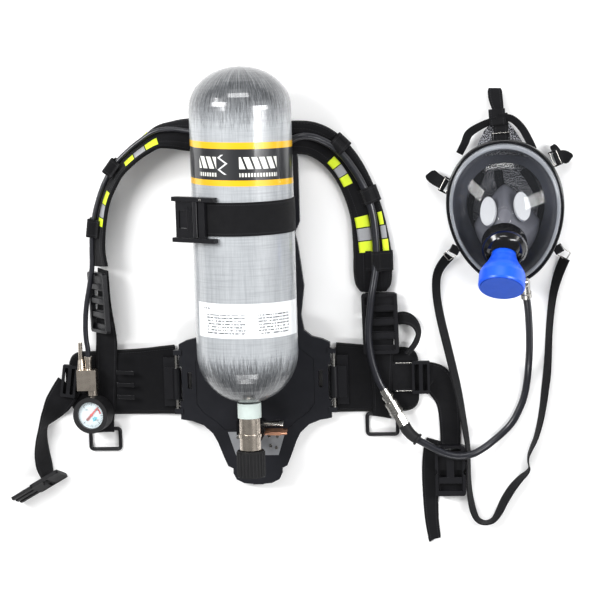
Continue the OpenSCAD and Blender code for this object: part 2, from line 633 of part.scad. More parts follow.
// Gauge group on the end of its hose
module gauge_block() color([0.76, 0.74, 0.71]) {
    translate([-266.5, 7, 31]) difference() {
        union() {
            cube([31, 33, 22], center = true);
            along_y([2.5, 16, 0]) cylinder(r = 5.5, h = 16);
            along_y([2.5, 32, 0]) cylinder(r = 6.6, h = 5);
            along_y([8, -25.2, 0]) cylinder(r = 8, h = 9.2);
            along_y([8, -30.4, 0]) cylinder(r = 3, h = 6);
        }
        along_y([2.5, 4, 0]) cylinder(r = 2, h = 60);
        along_y([-9.5, 4, 0]) cylinder(r = 3, h = 60);
    }
}
module whistle() color([0.72, 0.7, 0.67]) difference() {
    union() {
        along_y([-276, 11, 31]) cylinder(r = 3, h = 14);
        along_y([-276, 23.5, 31]) cylinder(r1 = 6.2, r2 = 4.2, h = 16, $fn = 48);
        along_y([-276, 39.5, 31]) cylinder(r = 3.4, h = 27);
    }
    along_y([-276, 20, 31]) cylinder(r = 2, h = 60);
}
module at_gauge() {
    translate(gauge_at) rotate([0, -gauge_tilt, 0]) children();
}
dial_z = 6;
module gauge_case() color([0.12, 0.12, 0.13]) difference() {
    at_gauge() translate([0, 0, -19]) cylinder(d = gauge_d, h = 32);
    at_gauge() translate([0, 0, -15]) cylinder(d = dial_d + 1, h = 60);
    along_y([-258.5, -24, 31]) cylinder(r = 3.05, h = 10);
}
module gauge_dial() color([0.81, 0.87, 0.9]) at_gauge() difference() {
    translate([0, 0, dial_z - 1.2]) cylinder(d = dial_d + 1, h = 1.2);
    translate([0, 0, dial_z - 2]) cylinder(r = 0.9, h = 4);
}
module gauge_needle() color("crimson") at_gauge() rotate(needle_angle) {
    translate([0, 0, dial_z - 6]) cylinder(r = 0.84, h = 8);
    translate([0, 0, dial_z + 0.6]) cylinder(r = 2.2, h = 1.4);
    translate([0, 0, dial_z + 0.6]) linear_extrude(1) polygon([[-11, -2], [17, -0.8], [17, 0.8], [-11, 2]]);
}
module gauge_lens() color([0.9, 0.95, 1, 0.4]) at_gauge()
    translate([0, 0, dial_z + 3]) cylinder(d = dial_d + 1, h = 1.6);

// Hoses
module supply_hose() color([0.16, 0.17, 0.2]) cord(supply_route, hose_d, 8);
module gauge_hose() color([0.16, 0.17, 0.2]) cord(gauge_route, gauge_hose_d, 8);
module mask_hose() color([0.16, 0.17, 0.2]) cord(mask_route, hose_d, 10);

// Quick coupler between the supply hose and the mask hose, built along its own +X
module at_coupler() {
    translate(coupler_at) rotate(coupler_turn) children();
}
module coupler_socket() color([0.78, 0.77, 0.75]) at_coupler() difference() {
    union() {
        along_x([0, 0, 0]) cylinder(r = 7.6, h = 18);
        along_x([14, 0, 0]) cylinder(r = 8.4, h = 31);
        along_x([10, 0, 0]) cylinder(r = 9.5, h = 6);
    }
    along_x([12, 0, 0]) cylinder(r = 3, h = 40);
    along_x([26, 0, 0]) cylinder(r = 5.6, h = 40);
}
module coupler_sleeve() color([0.85, 0.84, 0.8]) at_coupler() difference() {
    union() {
        along_x([22, 0, 0]) cylinder(r = 11, h = 22);
        along_x([24, 0, 0]) cylinder(r = 11.6, h = 4);
        along_x([38, 0, 0]) cylinder(r = 11.6, h = 4);
    }
    along_x([20, 0, 0]) cylinder(r = 8.45, h = 40);
}
module coupler_plug() color([0.7, 0.7, 0.7]) at_coupler() difference() {
    union() {
        along_x([28, 0, 0]) cylinder(r = 5.5, h = 18);
        along_x([46, 0, 0]) cylinder(r = 9, h = 19, $fn = 6);
    }
    along_x([27, 0, 0]) cylinder(r = 2.5, h = 40);
}
boot_sides = [9.3, 9.2, 8.8, 8.5, 8.3, 10, 10];
module hose_boot() color([0.08, 0.08, 0.09]) {
    p = [for (k = [0, 1, 2, 3, 3.4, 3.5, 4]) mask_route[floor(k)] + (k - floor(k)) * (mask_route[4] - mask_route[3])];
    last = len(p) - 1;
    shell(concat(
        [for (i = [0 : last]) ring(p[i], along(p, i), 0, round_section(2 * boot_sides[i], 20))],
        [for (i = [last : -1 : 0]) ring(p[i], along(p, i), 0, round_section(hose_d + 0.6, 20))]
    ));
}

// Face mask
module at_mask() {
    translate(mask_at) rotate(mask_yaw) children();
}
dome_steps = 8;
function dome_ring(i, s, rise) =
    let (a = i * 84 / dome_steps)
    egg_at(s * cos(a), rim_z + rise * sin(a));
module port_axis(at) {
    translate(at) rotate(bell_turn) rotate([28, 0, 0]) children();
}
module bell_axis() {
    translate(bell_at) rotate(-bell_turn) rotate([bell_lean, 0, 0]) children();
}
module visor() color([0.85, 0.88, 0.92, 0.35]) difference() {
    at_mask() loft(concat(
        [for (i = [dome_steps : -1 : 0]) dome_ring(i, 0.95 - 2 * visor_t / mask_w, visor_rise - visor_t)],
        [for (i = [0 : dome_steps]) dome_ring(i, 0.95, visor_rise)]
    ));
    port_axis(port_at) translate([0, 0, -40]) cylinder(d = port_d - 10, h = 80);
}
module visor_frame() color([0.07, 0.07, 0.08]) at_mask() difference() {
    union() {
        translate([0, 0, rim_z - 10]) linear_extrude(16) polygon(egg(mask_w, mask_h));
        for (a = [30, 150]) rotate(a) translate([86, 0, rim_z - 2]) slab(26, 22, 3, -6, 3);
        translate([0, mask_h / 2 - 4, rim_z - 2]) slab(28, 26, 3, -6, 3);
        for (s = [-1, 1]) translate([s * 84, -60, rim_z - 2]) slab(20, 22, 3, -6, 3);
    }
    translate([0, 0, rim_z]) linear_extrude(16) polygon(egg(mask_w * 0.951, mask_h * 0.951));
    translate([0, 0, rim_z - 16]) linear_extrude(40) polygon(egg(mask_w * 0.9, mask_h * 0.9));
}

// Rubber face seal: a funnel from the frame in to the face opening
function seal_ring(w, h, z, dy) = [for (p = egg(w, h)) [p[0], p[1] + dy, z]];
module face_seal() color([0.25, 0.26, 0.28]) at_mask() shell([
    seal_ring(mask_w * 0.91, mask_h * 0.91, rim_z - 10.2, 0),
    seal_ring(mask_w * 0.88, mask_h * 0.88, rim_z - 16, 0),
    seal_ring(mask_w * 0.78, mask_h * 0.77, 11, 1),
    seal_ring(mask_w * 0.66, mask_h * 0.62, 7, 4),
    seal_ring(mask_w * 0.58, mask_h * 0.53, 5, 6),
    seal_ring(mask_w * 0.6, mask_h * 0.55, 2, 6),
    seal_ring(mask_w * 0.68, mask_h * 0.64, 0, 4),
    seal_ring(mask_w * 0.8, mask_h * 0.8, 2, 0),
    seal_ring(mask_w * 0.93, mask_h * 0.93, 14, 0),
    seal_ring(mask_w * 0.99, mask_h * 0.99, rim_z - 10.2, 0)
]);

// Nose cup: a thin cone over nose and mouth
function cup_ring(w, h, z, y) = [for (p = egg(w, h, 24)) [p[0], p[1] + y, z]];
module nose_cup() color([0.47, 0.47, 0.5]) at_mask() {
    shell([
        cup_ring(96, 112, 12, -18), cup_ring(94, 108, 28, -20), cup_ring(78, 92, 46, -26),
        cup_ring(58, 72, 59, -33), cup_ring(42, 52, 68, -39), cup_ring(48, 58, 70, -39),
        cup_ring(64, 78, 62, -33), cup_ring(84, 98, 48, -26), cup_ring(100, 114, 29, -20),
        cup_ring(102, 118, 12, -18)
    ]);
}
module inhale_valves() color([0.9, 0.91, 0.93]) at_mask() for (s = [-1, 1])
    translate([s * 25, 5 + s * 2, 53]) rotate([-30, s * 20, s * -8]) linear_extrude(5)
        polygon([for (a = [0 : 15 : 345]) [13 * cos(a), 24 * sin(a)]]);

// Port housing, demand valve and its purge cover
module port_housing() color([0.1, 0.1, 0.11]) difference() {
    union() {
        port_axis(port_at) translate([0, 0, -2.5]) cylinder(d = port_d - 10.4, h = 12);
        difference() {
            union() {
                port_axis(port_at) translate([0, 0, -8]) cylinder(d = port_d, h = 21);
                port_axis(port_at) translate([0, 0, 13]) cylinder(d1 = port_d - 6, d2 = port_d - 16, h = 6);
            }
            at_mask() loft([for (i = [0 : dome_steps]) dome_ring(i, 0.951, visor_rise + 0.1)]);
            at_mask() translate([0, 0, rim_z - 1]) linear_extrude(30) polygon(egg(mask_w * 0.8, mask_h * 0.72));
        }
    }
    port_axis(port_at) translate([0, 0, -20]) cylinder(d = port_d - 18, h = 24);
    bell_axis() translate([0, 0, -60]) cylinder(r = 18.6, h = 200);
    bell_axis() translate([0, 0, 22]) cylinder(r = 27, h = 60);
}
bell_r = bell_d / 2;
module demand_valve() color([0.18, 0.43, 0.88]) difference() {
    bell_axis() rotate_extrude($fn = 64) polygon([
        [0, -8], [17.5, -8], [18.5, -4], [18.5, 24], [20, 31], [25, 42], [31, 51], [34.5, 58],
        [bell_r, 64], [bell_r, bell_len - 4], [bell_r - 1.5, bell_len - 1], [0, bell_len - 1]
    ]);
    bell_axis() translate([0, 0, bell_len - 12]) cylinder(r = bell_r - 3, h = 30);
    bell_axis() translate([0, 0, 40]) cylinder(r = 18, h = bell_len);
    bell_axis() translate([0, 0, -10]) cylinder(r = 12, h = 60);
}
module demand_cover() color([0.14, 0.33, 0.72]) bell_axis() {
    translate([0, 0, bell_len - 12 + purge_travel + 1]) cylinder(r = bell_r - 3.4, h = 11 - purge_travel);
}

// Swivel fitting on the right of the demand valve
module mask_fitting() color([0.75, 0.74, 0.72]) difference() {
    union() {
        translate([430, 136, 86]) rotate([-61, 0, 4]) {
            cylinder(r = 7.5, h = 26);
            cylinder(r = 8.6, h = 8);
        }
        translate([428, 160, 100]) sphere(r = 8.5, $fn = 32);
    }
    bell_axis() translate([0, 0, 50]) cylinder(r = bell_r + 0.05, h = 60);
}

// Head harness: straps under the mask and out of its frame, and the neck strap
module head_harness() color([0.06, 0.06, 0.07]) {
    webbing([[402, 252, 1, 16, 0], [401, 320, 1, 16, 0]], web_t);
    webbing([[383, 404, 19, 11, 0], [366, 397, 18, 12, 0], [348, 385, 17, 13, 0], [338, 370, 17, 12, 0],
        [329, 352, 17, 11, 0]], web_t);
    webbing([[399, 410, 19, 11, 0], [414, 405, 18, 12, 0], [429, 392, 17, 13, 0], [440, 375, 17, 12, 0],
        [448, 360, 17, 11, 0]], web_t);
    webbing([[394, 377, 24, 20, 0], [391, 392, 22, 24, 0], [388, 420, 16, 24, 0], [387, 452, 8, 24, 0]], web_t);
    webbing([[308, 304, 31, 20, 0], [300, 309, 22, 20, 0], [291, 314, 14, 20, 0], [282, 322, 12, 18, 0]], web_t);
    webbing([[477, 342, 31, 20, 0], [483, 344, 22, 20, 0], [490, 344, 14, 20, 0], [500, 340, 12, 18, 0]], web_t);
    webbing(neck_route, web_t);
}

backplate();
lumbar_pad();
reducer_bracket();
bracket_rivets();
cylinder_shell();
cylinder_liner();
neck_collar();
valve_body();
valve_stem();
handwheel();
coupling_nut();
reducer_body();
reducer_piston();
auxiliary_outlet();
relief_valve();
cylinder_band();
band_buckle();
band_lever();
shoulder_pad_left();
shoulder_pad_right();
hose_keepers();
strap_adjusters();
pull_straps();
pull_ring_left();
pull_ring_right();
hinge_rods();
belt_pad_left();
belt_pad_right();
belt_carrier_left();
belt_carrier_right();
belt_webbing_left();
belt_webbing_right();
belt_slider_left();
belt_slider_right();
buckle_socket();
buckle_button();
buckle_tongue();
gauge_block();
whistle();
gauge_case();
gauge_dial();
gauge_needle();
gauge_lens();
supply_hose();
gauge_hose();
mask_hose();
coupler_socket();
coupler_sleeve();
coupler_plug();
hose_boot();
visor();
visor_frame();
face_seal();
nose_cup();
inhale_valves();
port_housing();
demand_valve();
demand_cover();
mask_fitting();
head_harness();
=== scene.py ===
"""Looks for a self-contained breathing apparatus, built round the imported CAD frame."""
import math

import bpy
import bmesh
from mathutils import Matrix, Vector


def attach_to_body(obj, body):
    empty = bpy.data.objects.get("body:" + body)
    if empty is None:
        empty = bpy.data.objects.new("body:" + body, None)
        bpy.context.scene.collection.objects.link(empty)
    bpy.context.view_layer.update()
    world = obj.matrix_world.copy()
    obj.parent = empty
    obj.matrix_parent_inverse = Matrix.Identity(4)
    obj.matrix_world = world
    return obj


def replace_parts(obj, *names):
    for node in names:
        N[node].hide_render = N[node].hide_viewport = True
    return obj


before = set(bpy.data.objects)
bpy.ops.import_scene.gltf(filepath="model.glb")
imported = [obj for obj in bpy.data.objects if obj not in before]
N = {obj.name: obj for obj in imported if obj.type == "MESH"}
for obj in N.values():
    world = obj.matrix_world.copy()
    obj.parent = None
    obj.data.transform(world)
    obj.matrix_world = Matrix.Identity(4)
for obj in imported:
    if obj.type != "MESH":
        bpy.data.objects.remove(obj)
MM = 0.001
CYL_Z, CYL_R = 104, 78.5        # height of the cylinder's axis and its radius
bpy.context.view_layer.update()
scene = bpy.context.scene

# ---------------------------------------------------------------- camera, light and floor
EYE = Vector((0.4943, 0.6522, 4.0043))
LOOK_BACK = Vector((0.1038, 0.1298, 0.9861))
ROLL = 0.0293
back = LOOK_BACK.normalized()
level_up = (Vector((0, 1, 0)) - back * back.y).normalized()
level_right = level_up.cross(back)
right = level_right * math.cos(ROLL) - level_up * math.sin(ROLL)
up = level_right * math.sin(ROLL) + level_up * math.cos(ROLL)
cam_data = bpy.data.cameras.new("camera")
cam_data.lens = 154.36
cam_data.sensor_width = 36
cam_data.clip_end = 50
cam = bpy.data.objects.new("camera", cam_data)
cam.matrix_world = Matrix((
    (right.x, up.x, back.x, EYE.x), (right.y, up.y, back.y, EYE.y),
    (right.z, up.z, back.z, EYE.z), (0, 0, 0, 1)))
scene.collection.objects.link(cam)
scene.camera = cam


AIM = (0.05, 0.12, 0.08)        # where every lamp points


def softbox(name, at, size, watts):
    """White rectangular lamp aimed at the middle of the set"""
    data = bpy.data.lights.new(name, "AREA")
    data.shape = "RECTANGLE"
    data.size, data.size_y = size
    data.energy = watts
    o = bpy.data.objects.new(name, data)
    o.location = at
    o.rotation_euler = (Vector(AIM) - Vector(at)).to_track_quat("-Z", "Y").to_euler()
    scene.collection.objects.link(o)


softbox("key_light", (-1.5, 1.1, 1.9), (0.7, 1.5), 62)
softbox("fill_light", (2.0, 0.5, 1.6), (0.5, 1.6), 46)
softbox("top_light", (0.1, 2.1, 1.5), (1.6, 0.4), 24)
softbox("low_light", (0.1, -2.0, 1.5), (1.8, 0.5), 26)
scene.view_settings.view_transform = "Standard"
scene.view_settings.gamma = 0.84

world = bpy.data.worlds.new("studio")
scene.world = world
world.use_nodes = True
sky = world.node_tree.nodes["Background"].inputs
sky["Color"].default_value = (1, 1, 1, 1)
sky["Strength"].default_value = 0.3


# ---------------------------------------------------------------- materials
class Mat:
    """A principled material whose colour, roughness and relief come from nodes."""

    def __init__(self, name, color, rough=0.5, metal=0.0, vary=0.12, patch=60.0, grain=900.0,
                 relief=0.12, depth=0.0002, rounding=0.0005, **sockets):
        self.mat = bpy.data.materials.new(name)
        self.mat.use_nodes = True
        self.nt = self.mat.node_tree
        self.bsdf = self.nt.nodes["Principled BSDF"]
        self.xyz = self.node("ShaderNodeTexCoord").outputs["Object"]
        spots = self.noise(self.xyz, patch, 3)
        dark = [c * (1 - vary) for c in color]
        light = [min(1, c * (1 + vary) + 0.004) for c in color]
        self.color = self.mix(spots, dark, light)
        wear = self.noise(self.xyz, patch * 1.7, 4)
        self.rough = self.remap(wear, max(0, rough - 0.07), rough + 0.07)
        self.height = self.noise(self.xyz, grain, 2)
        self.relief, self.depth, self.rounding = relief, depth, rounding
        self.put("Metallic", metal)
        for key, value in sockets.items():
            self.put(key.replace("_", " "), value)

    def node(self, kind, **settings):
        n = self.nt.nodes.new(kind)
        for k, v in settings.items():
            setattr(n, k, v)
        return n

    def put(self, socket, value):
        s = self.bsdf.inputs[socket]
        s.default_value = (*value, 1) if isinstance(value, (tuple, list)) else value

    def link(self, a, b):
        if isinstance(a, bpy.types.NodeSocket):
            self.nt.links.new(a, b)
        elif isinstance(a, (tuple, list)):
            b.default_value = (*a, 1) if len(a) < len(b.default_value) else a
        else:
            b.default_value = a

    def noise(self, vec, scale, detail=2, rough=0.55):
        n = self.node("ShaderNodeTexNoise")
        self.link(vec, n.inputs["Vector"])
        n.inputs["Scale"].default_value = scale
        n.inputs["Detail"].default_value = detail
        n.inputs["Roughness"].default_value = rough
        return n.outputs["Fac"]

    def mix(self, fac, a, b):
        n = self.node("ShaderNodeMix", data_type="RGBA")
        self.link(fac, n.inputs[0])
        self.link(a, n.inputs[6])
        self.link(b, n.inputs[7])
        return n.outputs[2]

    def math(self, op, a, b=0.0, c=0.0):
        n = self.node("ShaderNodeMath", operation=op)
        for k, v in enumerate((a, b, c)):
            self.link(v, n.inputs[k])
        return n.outputs[0]

    def remap(self, value, lo, hi, from_lo=0.0, from_hi=1.0):
        n = self.node("ShaderNodeMapRange")
        for k, v in enumerate((value, from_lo, from_hi, lo, hi)):
            self.link(v, n.inputs[k])
        return n.outputs[0]

    def stretch(self, sx, sy, sz, vec=None):
        n = self.node("ShaderNodeMapping")
        self.link(vec or self.xyz, n.inputs["Vector"])
        n.inputs["Scale"].default_value = (sx, sy, sz)
        return n.outputs[0]

    def split(self, vec):
        n = self.node("ShaderNodeSeparateXYZ")
        self.link(vec, n.inputs[0])
        return n.outputs

    def uv(self, name):
        return self.split(self.node("ShaderNodeUVMap", uv_map=name).outputs[0])

    def inside(self, value, lo, hi, soft=0.0001):
        """1 between lo and hi, 0 outside"""
        return self.math("MULTIPLY", self.remap(value, 0, 1, lo - soft, lo + soft),
                         self.remap(value, 1, 0, hi - soft, hi + soft))

    def all_of(self, *masks):
        out = masks[0]
        for m in masks[1:]:
            out = self.math("MULTIPLY", out, m)
        return out

    def paint(self, mask, color):
        self.color = self.mix(mask, self.color, color)

    def add_height(self, value, amount):
        self.height = self.math("MULTIPLY_ADD", value, amount, self.height)

    def done(self):
        self.link(self.color, self.bsdf.inputs["Base Color"])
        self.link(self.rough, self.bsdf.inputs["Roughness"])
        bump = self.node("ShaderNodeBump")
        bump.inputs["Strength"].default_value = self.relief
        bump.inputs["Distance"].default_value = self.depth
        self.link(self.height, bump.inputs["Height"])
        if self.rounding:
            bevel = self.node("ShaderNodeBevel", samples=4)
            bevel.inputs["Radius"].default_value = self.rounding
            self.link(bevel.outputs[0], bump.inputs["Normal"])
        self.link(bump.outputs[0], self.bsdf.inputs["Normal"])
        return self.mat


def lin(hexa):
    """Linear colour from a hex string"""
    out = []
    for k in (0, 2, 4):
        c = int(hexa[k:k + 2], 16) / 255
        out.append(c / 12.92 if c < 0.04045 else ((c + 0.055) / 1.055) ** 2.4)
    return tuple(out)


def webbing_mat(name, color, edge=2.2, stitch=True):
    """Woven strap: herringbone ribs, firm selvedges and a row of stitches by each edge"""
    m = Mat(name, color, rough=0.78, vary=0.2, patch=90, grain=2500, relief=0.5, depth=0.0004,
            rounding=0, Sheen_Weight=0.1, Sheen_Roughness=0.5, Specular_IOR_Level=0.2)
    u, v, _ = m.uv("lay")
    e, _, _ = m.uv("edge")
    zig = m.math("PINGPONG", u, 3.0)
    ribs = m.math("SINE", m.math("MULTIPLY", m.math("ADD", v, zig), 4.2))
    m.add_height(ribs, 0.35)
    m.paint(m.remap(ribs, 0.0, 0.35, -1, 1), [c * 0.45 for c in color])
    m.add_height(m.inside(e, edge, edge + 0.5, 0.2), -0.9)
    if stitch:
        dash = m.math("LESS_THAN", m.math("FRACT", m.math("MULTIPLY", v, 0.28)), 0.62)
        thread = m.all_of(m.inside(e, edge + 1.2, edge + 1.9, 0.15), dash)
        m.add_height(thread, 1.3)
        m.paint(thread, [min(1, c * 2.6 + 0.02) for c in color])
    return m.done()


def pad_mat(name, color, binding=5.0, channels=None):
    """Padded cloth with a bound edge, a seam, and stitched channels"""
    m = Mat(name, color, rough=0.85, vary=0.25, patch=45, grain=1500, relief=0.55, depth=0.0005,
            rounding=0, Sheen_Weight=0.12, Sheen_Roughness=0.5, Specular_IOR_Level=0.2)
    u, v, _ = m.uv("lay")
    e, _, _ = m.uv("edge")
    cloth = m.math("MULTIPLY", m.math("SINE", m.math("MULTIPLY", u, 3.1)),
                   m.math("SINE", m.math("MULTIPLY", v, 3.1)))
    m.add_height(cloth, 0.3)
    m.paint(m.remap(cloth, 0.0, 0.3, -1, 1), [c * 0.5 for c in color])
    bound = m.remap(e, 1, 0, binding - 0.3, binding + 0.3)
    m.paint(bound, [c * 0.7 for c in color])
    m.add_height(m.inside(e, binding, binding + 1.0, 0.4), -1.6)
    m.add_height(m.math("MULTIPLY", bound, m.math("SINE", m.math("MULTIPLY", v, 5.0))), 0.25)
    dash = m.math("LESS_THAN", m.math("FRACT", m.math("MULTIPLY", v, 0.25)), 0.6)
    rows = m.inside(e, binding - 1.6, binding - 0.9, 0.15)
    if channels:
        off = m.math("ABSOLUTE", u)
        rows = m.math("MAXIMUM", rows, m.inside(off, channels - 0.35, channels + 0.35, 0.15))
        m.add_height(m.inside(off, channels - 1.2, channels + 1.2, 0.8), -1.2)
    thread = m.all_of(rows, dash)
    m.add_height(thread, 1.4)
    m.paint(thread, [min(1, c * 2.4 + 0.015) for c in color])
    return m.done()


BLACK = lin("17171a")
webbing_black = webbing_mat("webbing", BLACK)
webbing_plain = webbing_mat("webbing_narrow", BLACK, edge=1.5, stitch=False)
pad_black = pad_mat("pad_cloth", lin("19191c"), channels=14)
belt_cloth = pad_mat("belt_cloth", lin("151518"), binding=7)
pad_plain = Mat("pad_plain", lin("19191c"), rough=0.85, vary=0.25, patch=45, grain=2200, relief=0.6,
                depth=0.0006, rounding=0, Sheen_Weight=0.3).done()


def plastic(name, color, rough, **extra):
    return Mat(name, color, rough=rough, vary=0.14, patch=50, grain=1400, relief=0.16, depth=0.00025,
               **extra)


def metal(name, color, rough):
    m = Mat(name, color, rough=rough, metal=1.0, vary=0.06, patch=60, grain=500, relief=0.01,
            depth=0.00005, rounding=0.0004)
    m.add_height(m.noise(m.stretch(60, 500, 60), 1.0, 2), 0.03)
    return m.done()


hose_m = Mat("hose_rubber", lin("25262c"), rough=0.3, vary=0.1, patch=120, grain=1600, relief=0.08,
             rounding=0, Coat_Weight=0.25, Coat_Roughness=0.35).done()
plate_m = plastic("plate_plastic", lin("1f2026"), 0.36)
plate_m.add_height(plate_m.noise(plate_m.xyz, 3800, 2), 0.8)
plate_m = plate_m.done()
black_m = plastic("black_plastic", lin("18181c"), 0.34).done()
dull_m = plastic("dull_plastic", lin("131316"), 0.5, Specular_IOR_Level=0.2).done()
gloss_m = plastic("gloss_plastic", lin("141417"), 0.2, Coat_Weight=0.4, Coat_Roughness=0.12).done()
rubber_m = Mat("rubber", lin("19191b"), rough=0.6, vary=0.2, grain=1200, relief=0.25).done()
nickel_m = metal("nickel", lin("d2c9be"), 0.28)
bright_m = metal("bright_steel", lin("b9b7b3"), 0.27)
steel_m = metal("sheet_steel", lin("d0d2d6"), 0.38)
copper_m = metal("copper_fitting", lin("b98f78"), 0.3)
dark_metal_m = Mat("dark_metal", lin("232326"), rough=0.35, metal=0.6, vary=0.15, patch=150,
                   grain=1500).done()
collar_m = plastic("collar", lin("c9d3cf"), 0.3).done()
blue_m = plastic("blue_plastic", lin("1f62e6"), 0.36, Coat_Weight=0.2, Coat_Roughness=0.2).done()
blue_end_m = Mat("blue_cover", lin("1d55bd"), rough=0.5, vary=0.1, grain=1800, relief=0.25).done()
seal_m = Mat("seal_rubber", lin("5a5c65"), rough=0.24, vary=0.14, patch=40, grain=900, relief=0.12,
             rounding=0).done()
cup_m = Mat("cup_rubber", lin("73747c"), rough=0.48, vary=0.12, patch=60, grain=900, relief=0.1,
            rounding=0).done()
white_m = Mat("white_rubber", lin("dcdee2"), rough=0.5, vary=0.03, patch=80, grain=900, relief=0.08).done()
visor_m = Mat("visor_clear", (0.07, 0.075, 0.085), rough=0.05, vary=0.02, patch=20, grain=300, relief=0.01,
              rounding=0, Coat_Weight=1.0, Coat_Roughness=0.02, Specular_IOR_Level=0.8)
# painted reflection: the window is lighter and more opaque towards its rim, standing in for light caught by
# the glass edge
_, _, vz = visor_m.split(visor_m.xyz)
visor_m.link(visor_m.remap(vz, 0.5, 0.11, 0.048, 0.062), visor_m.bsdf.inputs["Alpha"])
visor_m.paint(visor_m.remap(vz, 0.6, 0.0, 0.046, 0.056), (0.3, 0.32, 0.35))
visor_m = visor_m.done()
# the window's edge ring: a real glass edge, coloured light grey as a painted reflection of its bright edge
# highlights
rim_m = Mat("visor_rim", (0.42, 0.44, 0.48), rough=0.1, vary=0.04, patch=40, grain=300, relief=0.02,
            rounding=0, Alpha=0.55, Coat_Weight=1.0, Coat_Roughness=0.05).done()
lens_m = Mat("lens_clear", (0.95, 0.97, 1.0), rough=0.05, vary=0.02, patch=20, grain=300, relief=0.01,
             rounding=0, Alpha=0.1, Coat_Weight=1.0, Coat_Roughness=0.03).done()
dial_m = Mat("dial_face", lin("d8e6ea"), rough=0.45, vary=0.05, patch=80, grain=900, relief=0.05).done()
red_m = Mat("signal_red", lin("c8322a"), rough=0.4, vary=0.08).done()
green_m = Mat("needle_green", lin("1f4a3c"), rough=0.4, vary=0.08).done()
cyan_m = Mat("dial_cyan", lin("4fb3c4"), rough=0.45, vary=0.08).done()
ink_m = Mat("dial_ink", lin("26292c"), rough=0.5, vary=0.08).done()
yellow_m = Mat("reflective_yellow", lin("d3e437"), rough=0.5, vary=0.06, patch=300, grain=3000, relief=0.35,
               rounding=0, Coat_Weight=0.3, Coat_Roughness=0.3).done()
grey_m = Mat("reflective_grey", lin("9c9da0"), rough=0.4, vary=0.08, patch=300, grain=3000, relief=0.35,
             rounding=0, Coat_Weight=0.3, Coat_Roughness=0.3).done()


def cylinder_mat():
    """Silver-grey fibre wrap under a clear coat, with plain printed bands and a plain label"""
    m = Mat("fibre_wrap", lin("adb0b3"), rough=0.38, vary=0.05, patch=14, grain=700, relief=0.08, rounding=0,
            Coat_Weight=0.85, Coat_Roughness=0.12, Specular_IOR_Level=0.5)
    x, y, z = m.split(m.xyz)
    arc = m.math("MULTIPLY", m.math("ARCTAN2", x, m.math("SUBTRACT", z, CYL_Z * MM)), CYL_R * MM)
    wobble = m.noise(m.xyz, 30, 4)
    joined = m.node("ShaderNodeCombineXYZ")
    m.link(arc, joined.inputs[0])
    m.link(y, joined.inputs[1])
    skin = joined.outputs[0]
    fine = m.noise(m.stretch(900, 22, 1, skin), 1.0, 4, 0.7)
    broad = m.noise(m.stretch(220, 9, 1, skin), 1.0, 5, 0.7)
    m.paint(m.remap(fine, 0.0, 0.35, 0.42, 0.72), lin("808387"))
    m.paint(m.remap(broad, 0.0, 0.3, 0.5, 0.75), lin("75787c"))
    # lighter streaks along the wrap: partly random fibre tone, partly a painted highlight
    m.paint(m.remap(broad, 0.22, 0.0, 0.28, 0.48), lin("c9ccce"))
    hoop = m.noise(m.stretch(14, 420, 1, skin), 1.0, 3, 0.6)
    m.paint(m.remap(hoop, 0.0, 0.4, 0.45, 0.75), lin("7c7f83"))
    # darker, brushed-out domes with a ragged border
    ragged = m.noise(m.stretch(330, 30, 1, skin), 1.0, 5, 0.85)
    edge = m.math("MULTIPLY_ADD", m.math("SUBTRACT", ragged, 0.5), 0.12, y)
    hair = m.noise(m.stretch(520, 30, 1, skin), 1.0, 5, 0.85)
    low = m.remap(edge, 1.0, 0.0, 0.028, 0.062)
    high = m.remap(edge, 0.0, 0.95, 0.41, 0.455)
    dome = m.math("MAXIMUM", low, high)
    m.paint(dome, lin("4a4c4f"))
    m.paint(m.math("MULTIPLY", dome, m.remap(hair, 0.0, 0.7, 0.5, 0.66)), lin("9a9d9f"))
    m.paint(m.math("MULTIPLY", dome, m.remap(hair, 0.9, 0.0, 0.36, 0.48)), lin("17181a"))
    # upper printed band, with plain blocks where a marking would be
    lean = m.math("MULTIPLY_ADD", arc, 0.024, y)
    band = m.inside(lean, 0.3225, 0.3885)
    m.paint(band, lin("e3b41c"))
    m.paint(m.inside(lean, 0.3315, 0.3785), lin("2b2c2f"))
    slant = m.math("MULTIPLY_ADD", y, 30, m.math("MULTIPLY", arc, 82))
    block = m.math("LESS_THAN", m.math("FRACT", slant), 0.72)
    groups = m.math("MAXIMUM", m.inside(arc, -0.064, -0.030), m.inside(arc, 0.006, 0.068))
    m.paint(m.all_of(m.inside(lean, 0.3485, 0.3665), groups, block), lin("e6e6e0"))
    dots = m.math("LESS_THAN", m.math("FRACT", m.math("MULTIPLY", arc, 210)), 0.66)
    m.paint(m.all_of(m.inside(lean, 0.3365, 0.3425), groups, dots), lin("d8d8d2"))
    bolt = m.math("MULTIPLY_ADD", m.math("PINGPONG", m.math("ADD", y, 0.003), 0.009), 1.4, arc)
    zigzag = m.inside(bolt, -0.0155, -0.0115, 0.0004)
    m.paint(m.all_of(m.inside(lean, 0.340, 0.370), zigzag), lin("d9dadb"))
    # lower white label with rows of short bars
    tilt = m.math("MULTIPLY_ADD", arc, 0.012, y)
    label = m.all_of(m.inside(tilt, 0.091, 0.144), m.inside(arc, -0.082, 0.115))
    m.paint(label, lin("eceef0"))
    rows = m.math("LESS_THAN", m.math("FRACT", m.math("MULTIPLY", tilt, 215)), 0.45)
    words = m.math("GREATER_THAN", m.noise(m.stretch(420, 90, 1, skin), 1.0, 1), 0.45)
    left = m.all_of(m.inside(tilt, 0.097, 0.127), m.inside(arc, -0.058, 0.008))
    other = m.all_of(m.inside(tilt, 0.096, 0.130), m.inside(arc, 0.028, 0.085))
    top = m.all_of(m.inside(tilt, 0.133, 0.138), m.inside(arc, -0.066, -0.050))
    printed = m.math("MAXIMUM", m.math("MAXIMUM", left, other), top)
    m.paint(m.all_of(printed, rows, words), lin("6d7074"))
    m.add_height(m.math("MAXIMUM", band, label), 0.8)
    m.add_height(fine, 0.5)
    m.add_height(wobble, 0.6)
    return m.done()


